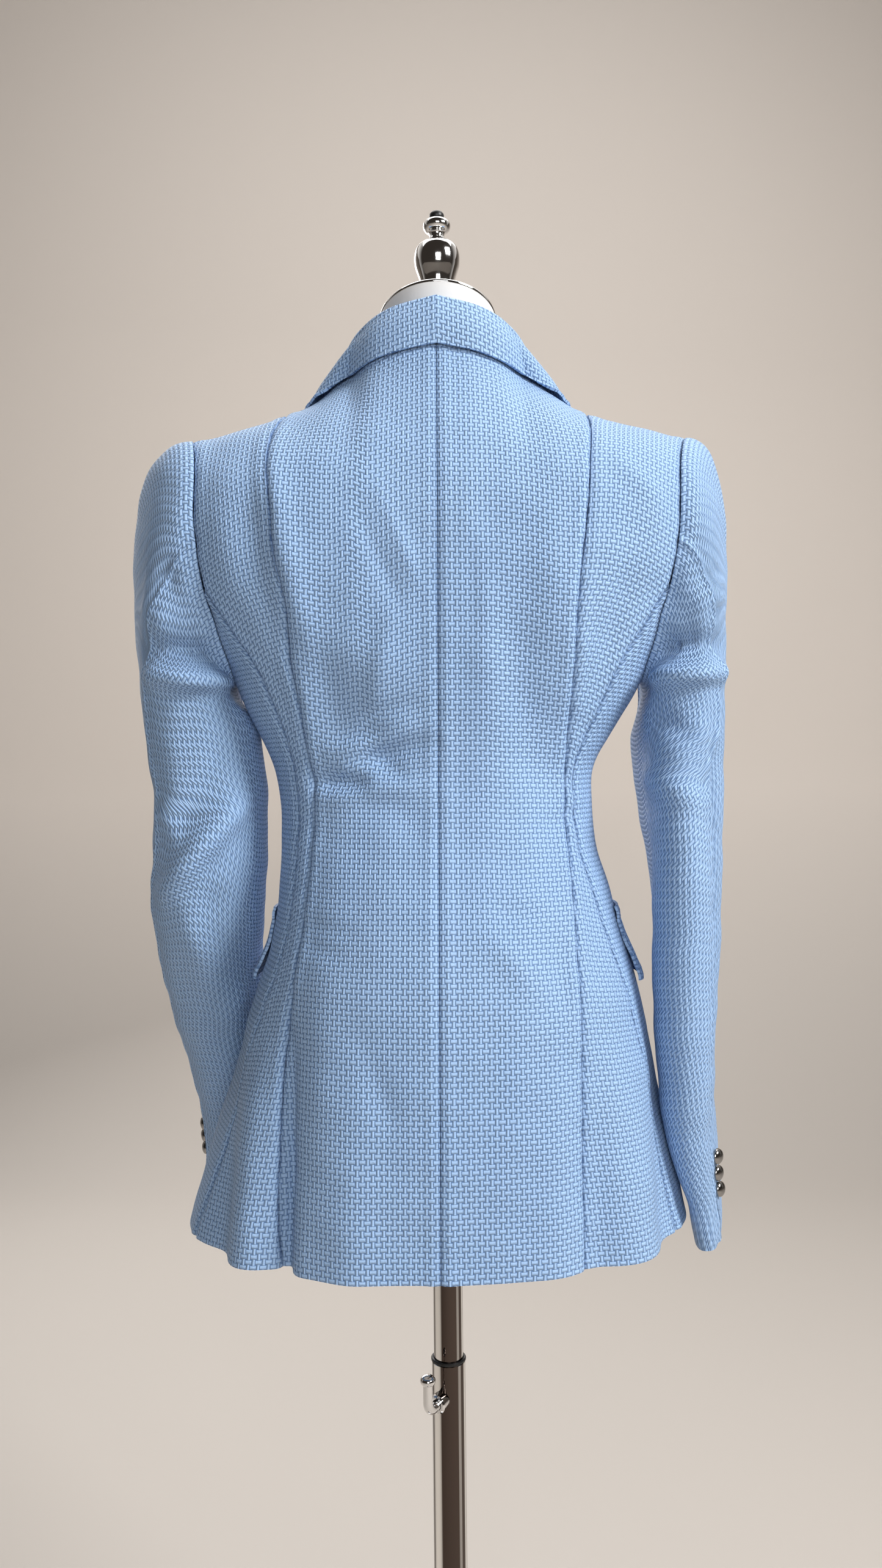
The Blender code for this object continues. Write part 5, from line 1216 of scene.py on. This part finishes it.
collar = {
    "behind": (  # share, then the neck seam and the fold at the top
        (0.0, (0.0000, 0.0462, 1.4150), (0.0000, 0.0478, 1.4425)),
        (0.2, (0.0300, 0.0422, 1.4125), (0.0318, 0.0418, 1.4360)),
        (0.4, (0.0495, 0.0300, 1.4080), (0.0540, 0.0290, 1.4265)),
        (0.6, (0.0615, 0.0095, 1.4020), (0.0660, 0.0070, 1.4150)),
    ),
    "inFront": ((0.8, 1.364, 0.0080), (1.0, 1.3455, 0.0052)),  # share, height mark and stand
    "lift": 0.0003,  # clear of the back's neckline
    "neckGap": 0.0018,
    "edge": table(
        "q x over",
        (0.0, 0.0000, -0.0060),
        (0.2, 0.0360, -0.0085),
        (0.4, 0.0660, -0.0085),
        (0.6, 0.0920, -0.0008),
        (0.8, 0.1070, 0.0190),
        (1.0, 0.1060, 0.0510),
    ),
    "clear": 0.0028,
    "ridge": (0.0020, 0.62, 0.12),
    "rows": 60,  # along each half
    "foldRadius": 0.0032,
    "belly": 0.0030,
}


def collarLines(side, q):
    offset = np.array([float(swayAt(body["shoulder"])), 0, collar["lift"]])
    mirror = np.array([sides[side], 1, 1])
    seamPoints = [np.array(seam) * mirror + offset for _, seam, _ in collar["behind"]]
    foldPoints = [np.array(fold) * mirror + offset for _, _, fold in collar["behind"]]
    for _, mark, stand in collar["inFront"]:
        mark = np.array([mark])
        edge, below = bodyLayers(side, angleAt(side, rollLine(mark), mark, False), mark)
        way = (edge - below)[0] / body["thick"]
        inward = np.array([-sides[side], 0, 0]) * collar["neckGap"]
        seamPoints.append(edge[0] + inward)
        foldPoints.append(edge[0] + inward / 2 + way * stand)
    knots = np.array([row[0] for row in collar["behind"] + collar["inFront"]])
    seam = np.array([smooth(knots, np.array(seamPoints)[:, k], q) for k in range(3)])
    fold = np.array([smooth(knots, np.array(foldPoints)[:, k], q) for k in range(3)])
    over = read(collar["edge"], "over", q)
    mark = np.array([body["shoulder"] - abs(over)])
    angle = angleAt(side, np.array([read(collar["edge"], "x", q)]), mark, over < 0)
    outer, below = bodyLayers(side, angle, mark, collar["clear"])
    return seam, fold, outer[0], (outer - below)[0] / body["thick"]


def collarGrid(leafSteps=20, standSteps=8, foldSteps=5):
    rows = []
    for value in np.linspace(-1, 1, 2 * collar["rows"] + 1):
        seam, fold, edge, away = collarLines("left" if value >= 0 else "right", abs(value))
        down = unit(seam - fold)
        outward = unit(edge - fold - down * np.dot(edge - fold, down))
        radius = collar["foldRadius"]
        standTop = fold + (down - outward) * radius
        leafTop = fold + (down + outward) * radius
        points = [seam + (standTop - seam) * t for t in np.linspace(0, 1, standSteps + 1)]
        for t in np.linspace(0, math.pi, foldSteps + 2)[1:-1]:
            points.append(fold + down * radius * (1 - math.sin(t)) - outward * radius * math.cos(t))
        for t in np.linspace(0, 1, leafSteps + 1):
            points.append(leafTop + (edge - leafTop) * t + away * collar["belly"] * math.sin(math.pi * t))
        rows.append(points)
    return np.array(rows), standSteps + foldSteps + 1


def makeCollar():
    middle, leafStart = collarGrid()
    on = [f"{side}_{panel}" for side in sides for panel in ("back", "side_back", "front")]
    q = np.abs(np.linspace(-1, 1, len(middle)))
    extra, at, width = collar["ridge"]
    clear = collar["clear"] + extra * np.exp(-((q - at) / width) ** 2)
    leaf = middle[:, leafStart:]
    middle[:, leafStart:], _ = laid(leaf, leaf, cover(on), clear[:, None] * np.ones(leaf.shape[:2]))
    way = unit(np.cross(np.gradient(middle, axis=0), np.gradient(middle, axis=1)))
    half = body["thick"] / 2
    along = lengths(middle, 0)
    uv = np.stack([along - along[collar["rows"]], lengths(middle, 1)], axis=-1)
    wall("collar", middle + way * half, middle - way * half, uv)


makeCollar()
print("collar made")


# Turned pieces: the profile runs down the outer side and is turned about local Z

def turned(name, profile, finish, carrier, nodes, steps=64, hollow=False):
    mesh = bpy.data.meshes.new(name)
    edges = [(i, i + 1) for i in range(len(profile) - 1)]
    if hollow:
        edges.append((len(profile) - 1, 0))
    mesh.from_pydata([(radius, 0, height) for radius, height in profile], edges, [])
    piece = addPiece(name, mesh, finish)
    screw = piece.modifiers.new("Turn", "SCREW")
    screw.steps = steps
    screw.render_steps = steps
    screw.use_merge_vertices = True
    screw.merge_threshold = 0.00002
    screw.use_smooth_shade = True
    edge = piece.modifiers.new("Crisp", "EDGE_SPLIT")
    edge.split_angle = math.radians(35)
    return carry(piece, carrier, *nodes)


def aim(piece, at, way):
    piece.location = Vector([float(v) for v in at])
    piece.rotation_euler = Vector([float(v) for v in way]).to_track_quat("Z", "Y").to_euler()


def softened(profile, steps=2):
    # rounds the corners of a profile that is given as a few points
    points = np.array(profile, float)
    for _ in range(steps):
        first = points[:-1] * 0.75 + points[1:] * 0.25
        second = points[:-1] * 0.25 + points[1:] * 0.75
        points = np.concatenate([points[:1], np.stack([first, second], axis=1).reshape(-1, 2), points[-1:]])
    return [tuple(point) for point in points]


buttons = {
    "count": 3,
    "off": 0.0009,
    "pitch": 0.0132,
    "low": 0.034,  # the lowest button above the cuff's edge
    "turn": 17,  # degrees from the vent towards the front
    "tip": {"left": 0.0, "right": 0.5},  # how far they tip on their shanks towards the vent
    "tipLift": 0.003,
    "frontOff": 0.0005,
    "cuff": (0.0060, 0.0048),  # radius and height
    "front": (0.0095, 0.0060),
    "crown": (0.98, 0.35),  # the dome's foot, as shares of radius and height
    "rim": ((1.0, 0.26), (1.0, 0.18), (0.8, 0.0), (0.0, 0.0)),
}


def dome(radius, height):
    across, low = buttons["crown"]
    shares = [(0.0, 1.0)]
    for turn in np.linspace(0, math.pi / 2, 10)[1:]:
        shares.append((across * math.sin(turn), low + (1 - low) * math.cos(turn)))
    return [(radius * out, height * up) for out, up in shares + list(buttons["rim"])]


def makeCuffButtons(side):
    tree = cover([f"{side}_upper_sleeve"])
    drop = sleeves["topZ"] - sleeves["cuffZ"][side]
    hindTurn = float(read(sleeves["arms"][side], "hind", sleeves["cuffZ"][side]))
    share = holes[side]["hind"] * (1 - buttons["turn"] / hindTurn)
    for k in range(buttons["count"]):
        up = buttons["low"] + buttons["pitch"] * (buttons["count"] - 1 - k)
        spot = sleeveSurface(side, np.array([share]), np.array([2 - up / drop]))[0]
        near, normal, _, _ = tree.find_nearest(Vector(spot.tolist()))
        normal = normal * math.copysign(1, normal.x * sides[side])
        way = (normal + Vector((0, buttons["tip"][side], 0))).normalized()
        node = f"{side}_cuff_button_{k + 1}"
        button = turned(node + "_metal", dome(*buttons["cuff"]), "button", "torso", [node], 40)
        aim(button, near + normal * (buttons["off"] + buttons["tip"][side] * buttons["tipLift"]), way)


def makeFrontButton():
    height = np.array([front["buttonZ"]])
    spot = bodySurface("right", angleAt("right", np.array([0.0]), height, False), height)[0]
    near, normal, _, _ = cover(["right_front"]).find_nearest(Vector(spot.tolist()))
    button = turned("front_button_metal", dome(*buttons["front"]), "button", "torso", ["front_button"], 48)
    aim(button, near + normal * buttons["frontOff"], normal)


for side in sides:
    makeCuffButtons(side)
makeFrontButton()
print("buttons made")


# Dress form

form = {
    "lowZ": 0.835,
    "plateX": 0.148,  # the flat sides, where the arms would be
    "topShare": 0.965,
    "levels": (56, 26),
    "steps": 24,  # places from the middle to a flat side
    "plateSteps": 12,
    "levelSpan": 0.25,
    "clear": table(
        "z clear",
        (0.835, 0.0220),
        (0.930, 0.0180),
        (1.000, 0.0120),
        (1.070, 0.0085),
        (1.170, 0.0080),
        (1.275, 0.0065),
        (1.335, 0.0050),
        (1.366, 0.0031),
        (1.375, 0.0027),
    ),
    "neck": table(
        "z across deep y",
        (1.338, 0.0630, 0.0520, -0.006),
        (1.355, 0.0585, 0.0460, -0.004),
        (1.370, 0.0560, 0.0430, -0.004),
        (1.392, 0.0500, 0.0430, -0.003),
        (1.410, 0.0478, 0.0435, -0.002),
        (1.425, 0.0462, 0.0443, -0.001),
        (1.4398, 0.0445, 0.0450, 0.000),
    ),
    "neckLowZ": 1.338,
    "tiltZ": 1.370,  # the rings of the neck tip from here up
    "capZ": 1.4398,
    "capTilt": 21,  # degrees, down towards the front
    "capRadius": 0.0448,
    "capThick": 0.0036,
    "capStep": 0.0004,
    "seat": 0.0003,
    "dome": (0.014, 0.010),
    "neckGrid": (40, 96),
}


def formTurns(side):
    x = np.linspace(0, form["plateX"], form["steps"] + 1)
    level = np.full_like(x, body["shoulder"])
    plate = np.linspace(0, 1, form["plateSteps"] + 1)[1:]
    quarters = []
    for behind in (True, False):
        turns = angleAt(side, x, level, behind)
        quarters.append(np.concatenate([turns, turns[-1] + (math.pi / 2 - turns[-1]) * plate]))
    return np.concatenate([quarters[0], quarters[1][-2::-1]])


def underBody(side, angle, height):  # without the neckline's rise, which belongs to the cloth
    return plainBody(side, angle, height, "shoulder")


def formRing(height):
    rings = []
    for side in sides:
        turns = formTurns(side)
        level = np.full_like(turns, height)
        way = -facing(underBody, side, turns, level)
        clear = body["thick"] + float(read(form["clear"], "clear", height))
        points = underBody(side, turns, level) - way * clear
        levelled = 1 - float(ease((height - form["lowZ"]) / form["levelSpan"]))
        points[:, 2] += (height - points[:, 2]) * levelled
        rings.append(points)
    return withPlates(np.concatenate([rings[0], rings[1][-2:0:-1]]), swayAt(height))


def withPlates(ring, middle):
    count = len(ring)
    for sign in (1, -1):
        far = sign * (ring[:, 0] - middle) - form["plateX"]
        centre = count // 4 if sign > 0 else 3 * count // 4
        if far[centre] <= 0:
            continue
        first = centre
        last = centre
        while far[first - 1] > 0:
            first -= 1
        while far[last + 1] > 0:
            last += 1
        start = ring[first] + (ring[first - 1] - ring[first]) * far[first] / (far[first] - far[first - 1])
        end = ring[last] + (ring[last + 1] - ring[last]) * far[last] / (far[last] - far[last + 1])
        ring[first:last + 1] = start + (end - start) * np.linspace(0, 1, last - first + 1)[:, None]
    return ring


def bandFaces(rings, count, start=0):
    i = np.arange(count)
    faces = []
    for j in range(rings - 1):
        low = start + j * count + i
        after = start + j * count + (i + 1) % count
        faces.append(np.stack([low, after, after + count, low + count], axis=-1))
    return np.concatenate(faces)


def makeForm():
    mark = body["yokeZ"] + (body["shoulder"] - body["yokeZ"]) * form["topShare"]
    belowYoke, aboveYoke = form["levels"]
    heights = np.linspace(form["lowZ"], body["yokeZ"], belowYoke)
    heights = np.concatenate([heights, np.linspace(body["yokeZ"], mark, aboveYoke)[1:]])
    rings = [formRing(float(height)) for height in heights]
    count = len(rings[0])
    faces = [bandFaces(len(rings), count)]
    quarter = count // 4
    k = np.arange(quarter * 2)
    for base in (0, (len(rings) - 1) * count):  # bottom and top: each place behind is joined to one in front
        behind = base + (quarter + k) % count
        behindNext = base + (quarter + k + 1) % count
        before = base + (quarter - k) % count
        beforeNext = base + (quarter - k - 1) % count
        lid = np.stack([behind, behindNext, beforeNext, before], axis=-1)
        faces.append(lid if base else lid[:, ::-1])
    torso = meshOf("form_torso", np.concatenate(rings), np.concatenate(faces), "form")
    carry(torso, "torso", "dress_form")
    tilt = math.tan(math.radians(form["capTilt"]))
    ringCount, places = form["neckGrid"]
    heights = np.linspace(form["neckLowZ"], form["capZ"], ringCount)
    turns = np.linspace(0, 2 * math.pi, places, endpoint=False)
    points = []
    for height in heights:
        across, deep, y = (float(read(form["neck"], name, height)) for name in ("across", "deep", "y"))
        share = float(ease((height - form["tiltZ"]) / (form["capZ"] - form["tiltZ"])))
        ringY = y + deep * np.cos(turns) * (1 - share * (1 - math.cos(math.radians(form["capTilt"]))))
        points.append(np.stack([across * np.sin(turns), ringY, height + ringY * tilt * share], axis=-1))
    middle = np.concatenate(points)
    neck = meshOf("form_neck", middle, bandFaces(len(points), len(turns)), "form")
    carry(neck, "torso")


def makeNeckCap():
    thick = form["capThick"]
    edge = thick / 2
    flat = form["capRadius"] - edge
    domeRadius, domeHeight = form["dome"]
    profile = [(0.0, thick + domeHeight)]
    for turn in np.linspace(0, math.pi / 2, 12)[1:]:
        profile.append((domeRadius * math.sin(turn), thick + domeHeight * math.cos(turn)))
    profile.append((flat, thick + form["capStep"]))
    for turn in np.linspace(0, math.pi, 12)[1:]:
        profile.append((flat + edge * math.sin(turn), edge + edge * math.cos(turn)))
    profile.append((0.0, 0.0))
    cap = turned("neck_cap_metal", profile, "chrome", "torso", ["neck_cap"], 96)
    tilt = math.radians(form["capTilt"])
    way = Vector((0, -math.sin(tilt), math.cos(tilt)))
    aim(cap, Vector((0, 0, form["capZ"])) + way * form["seat"], way)


finial = {
    "profile": (
        (0.0110, 1.4540), (0.0116, 1.4620), (0.0126, 1.4720), (0.0148, 1.4785), (0.0168, 1.4840),
        (0.0175, 1.4895), (0.0171, 1.4945), (0.0155, 1.4990), (0.0126, 1.5020), (0.0066, 1.5032),
        (0.0063, 1.5055), (0.0055, 1.5075), (0.0060, 1.5105), (0.0088, 1.5117), (0.0104, 1.5140),
        (0.0105, 1.5165), (0.0094, 1.5190), (0.0060, 1.5210),
    ),
    "knob": ((0.0052, 1.5213), (0.0056, 1.5222), (0.0056, 1.5246), (0.0044, 1.5260)),
}


def closedProfile(rising):
    return [(0.0, rising[-1][1])] + softened(rising[::-1]) + [(0.0, rising[0][1])]


def makeFinial():
    turned("finial_metal", closedProfile(finial["profile"]), "chrome", "torso", ["finial"], 72)
    turned("finial_knob_black", closedProfile(finial["knob"]), "black", "torso", ["finial_knob"], 48)


makeForm()
makeNeckCap()
makeFinial()
print("form made")


# Pole and foot

stand = {
    "tubeWall": 0.0012,
    "innerRadius": 0.0112,
    "outerRadius": 0.0127,
    "outerTopZ": 0.6505,
    "outerLowZ": 0.0123,
    "innerLowZ": 0.340,
    "gap": 0.0003,
    "flange": (0.045, 0.006),
    "neck": ((0.018, 0.006), (0.0145, 0.030), (0.0112, 0.032)),  # radius, and depth below the form
    "ringEdge": 0.0006,
    "ring": (0.0133, 0.0024),  # radius and height
    "base": (
        (0.0130, 0.0120), (0.0130, 0.0420), (0.0150, 0.0440), (0.0205, 0.0440), (0.0235, 0.0420),
        (0.0250, 0.0220), (0.0300, 0.0165), (0.1000, 0.0120), (0.1440, 0.0092), (0.1500, 0.0062),
        (0.1500, 0.0012), (0.1488, 0.0000),
    ),
}
clamp = {
    "z": 0.625,
    "turn": 28,  # degrees from straight behind towards the wearer's left
    "boss": (0.0068, 0.0205, 0.0012),  # radius, how far out it ends, and its rounded edge
    "sunk": 0.001,  # how far the boss reaches into the tube's wall
    "rodStart": 0.0006,
    "rod": 0.0037,
    "reach": 0.0330,
    "rise": 0.0243,
    "bend": 0.0080,
    "ball": (0.0058, 0.0042),
}


def makePole():
    gap = stand["gap"]
    top = form["lowZ"] - gap
    outside = stand["innerRadius"]
    inside = outside - stand["tubeWall"]
    flangeRadius, flangeThick = stand["flange"]
    profile = [(inside, top), (flangeRadius, top), (flangeRadius, top - flangeThick / 2)]
    profile += [(radius, top - depth) for radius, depth in stand["neck"]]
    profile += [(outside, stand["innerLowZ"]), (inside, stand["innerLowZ"])]
    turned("inner_pole_tube", profile, "pole", "pole", ["inner_pole"], 96, hollow=True)
    outside = stand["outerRadius"]
    inside = outside - stand["tubeWall"]
    topZ, lowZ = stand["outerTopZ"], stand["outerLowZ"]
    profile = [(inside, topZ), (outside - gap, topZ), (outside, topZ - gap), (outside, lowZ), (inside, lowZ)]
    turned("outer_pole_tube", profile, "pole", "stand", ["outer_pole"], 96, hollow=True)
    inside = stand["innerRadius"] + gap
    low = topZ + gap
    radius, height = stand["ring"]
    edge = stand["ringEdge"]
    high = low + height
    profile = [(inside, high), (radius - edge, high), (radius, high - edge)]
    profile += [(radius, low + edge), (radius - edge, low), (inside, low)]
    turned("pole_ring_black", profile, "black", "stand", ["pole_ring"], 72, hollow=True)
    profile = [(0.0, stand["base"][0][1])] + list(stand["base"]) + [(0.0, 0.0)]
    turned("base_disc", profile, "chrome", "stand", ["base"], 128)


def makeClamp():
    turn = math.radians(clamp["turn"])
    out = Vector((math.sin(turn), math.cos(turn), 0))
    centre = Vector((0, 0, clamp["z"]))
    bore = clamp["rod"] + stand["gap"]
    radius, end, edge = clamp["boss"]
    low = stand["outerRadius"] - clamp["sunk"]
    profile = [(bore, end), (radius - edge, end), (radius, end - edge), (radius, low), (bore, low)]
    socket = turned("clamp_boss_metal", profile, "chrome", "stand", ["clamp_boss"], 56, hollow=True)
    aim(socket, centre, out)
    bend = clamp["bend"]
    start = stand["outerRadius"] + clamp["rodStart"]
    route = [centre + out * start, centre + out * (clamp["reach"] - bend)]
    for angle in np.linspace(0, math.pi / 2, 13)[1:]:
        along = clamp["reach"] - bend + bend * math.sin(angle)
        route.append(centre + out * along + Vector((0, 0, bend * (1 - math.cos(angle)))))
    route.append(centre + out * clamp["reach"] + Vector((0, 0, clamp["rise"])))
    curve = bpy.data.curves.new("clamp_hook_rod", "CURVE")
    curve.dimensions = "3D"
    curve.bevel_depth = clamp["rod"]
    curve.bevel_resolution = 6
    curve.use_fill_caps = True
    spline = curve.splines.new("POLY")
    spline.points.add(len(route) - 1)
    for point, at in zip(spline.points, route):
        point.co = (*at, 1)
    spline.use_smooth = True
    carry(addPiece("clamp_hook_rod", curve, "chrome"), "hook", "clamp_hook")
    across, high = clamp["ball"]
    turns = np.linspace(0, math.pi, 17)
    profile = [(across * math.sin(angle), high * math.cos(angle)) for angle in turns]
    profile[0] = (0.0, high)
    profile[-1] = (0.0, -high)
    ball = turned("clamp_hook_ball", profile, "chrome", "hook", [], 40)
    ball.location = centre + out * clamp["reach"] + Vector((0, 0, clamp["rise"]))


makePole()
makeClamp()
print("stand made")


# Studio

studio = {
    # the darker floor colour is painted shade; the sweep grows lighter towards the back colour up the wall
    "floor": (0.50, 0.46, 0.42, 1),
    "back": (0.82, 0.745, 0.675, 1),
    "height": (0.9, 0.6, 0.1),  # how the tone changes, a painted shade that lightens by height, and the scale and share of its noise
    "roughness": (0.75, 3.0, 0.1),  # lowest, and the scale and share of its noise
    "wallY": -3.4,
    "endY": 6.0,
    "half": 16.0,
    "cove": 1.2,
    "high": 5.0,
    "bright": (0.95, 0.91, 0.87, 1),  # the room beyond the object
    "dark": (0.042, 0.035, 0.030, 1),  # the room behind the camera
    "turn": (0.45, 1.8),  # where one gives way to the other, and how fast
    "worldStrength": 0.85,
    "lights": (  # name, place, aim, size, power
        ("key", (-2.1, 1.45, 2.7), (0.0, 0.0, 1.15), 1.0, 98),
        ("fill", (-0.3, 3.0, 1.7), (0.0, 0.0, 1.1), 1.2, 32),
        ("top", (-0.2, -0.9, 3.6), (0.0, 0.0, 1.1), 2.4, 20),
        ("front", (0.9, -2.4, 2.0), (0.0, 0.0, 1.1), 1.8, 34),
        ("wall", (0.0, -0.9, 3.5), (0.0, -3.4, 0.7), 2.6, 34),
    ),
    "camera": (0.0012, 0.900, 1.090),
    "roll": 0.6,
    "lens": 27.06,
}


def makeStage():
    made = Finish("paleFloor")
    rise, scale, uneven = studio["height"]
    # painted shade: the sweep is darker low down and lighter up the wall
    up = (made.apart(made.here()).out("Z") * rise + made.noise(scale, 3.0) * uneven).clamped()
    made.feed("Base Color", made.mix(studio["floor"], studio["back"], up))
    lowest, scale, rest = studio["roughness"]
    made.feed("Roughness", lowest + made.noise(scale) * rest)
    wallY, cove = studio["wallY"], studio["cove"]
    line = [(studio["endY"], 0.0)]
    for angle in np.linspace(0, math.pi / 2, 17):
        line.append((wallY + cove * (1 - math.sin(angle)), cove * (1 - math.cos(angle))))
    line.append((wallY, studio["high"]))
    half = studio["half"]
    points = [(x, y, z) for y, z in line for x in (-half, half)]
    faces = [(2 * i, 2 * i + 1, 2 * i + 3, 2 * i + 2) for i in range(len(line) - 1)]
    mesh = bpy.data.meshes.new("studio_sweep")
    mesh.from_pydata(points, [], faces)
    mesh.shade_smooth()
    mesh.materials.append(made.material)
    sweep = bpy.data.objects.new("studio_sweep", mesh)
    bpy.context.scene.collection.objects.link(sweep)


def makeLights():
    world = bpy.data.worlds.new("studio_world")
    bpy.context.scene.world = world
    room = Finish("", world)
    shift, steep = studio["turn"]
    share = ((room.apart(room.here("Generated")).out("Y") + shift) * steep).clamped()
    room.feed("Color", room.mix(studio["bright"], studio["dark"], share))
    room.shader.inputs["Strength"].default_value = studio["worldStrength"]
    bpy.context.scene.view_settings.view_transform = "Standard"
    for name, at, target, size, power in studio["lights"]:
        data = bpy.data.lights.new(name + "_light", "AREA")
        data.size = size
        data.energy = power
        light = bpy.data.objects.new(name + "_light", data)
        light.location = at
        light.rotation_euler = (Vector(target) - Vector(at)).to_track_quat("-Z", "Y").to_euler()
        bpy.context.scene.collection.objects.link(light)


def makeCamera():
    data = bpy.data.cameras.new("camera")
    data.sensor_fit = "VERTICAL"
    data.sensor_height = 36
    data.lens = studio["lens"]
    camera = bpy.data.objects.new("camera", data)
    camera.location = studio["camera"]
    camera.rotation_euler = (math.radians(90), math.radians(studio["roll"]), math.radians(180))
    bpy.context.scene.collection.objects.link(camera)
    bpy.context.scene.camera = camera


makeStage()
makeLights()
makeCamera()
print("studio made")
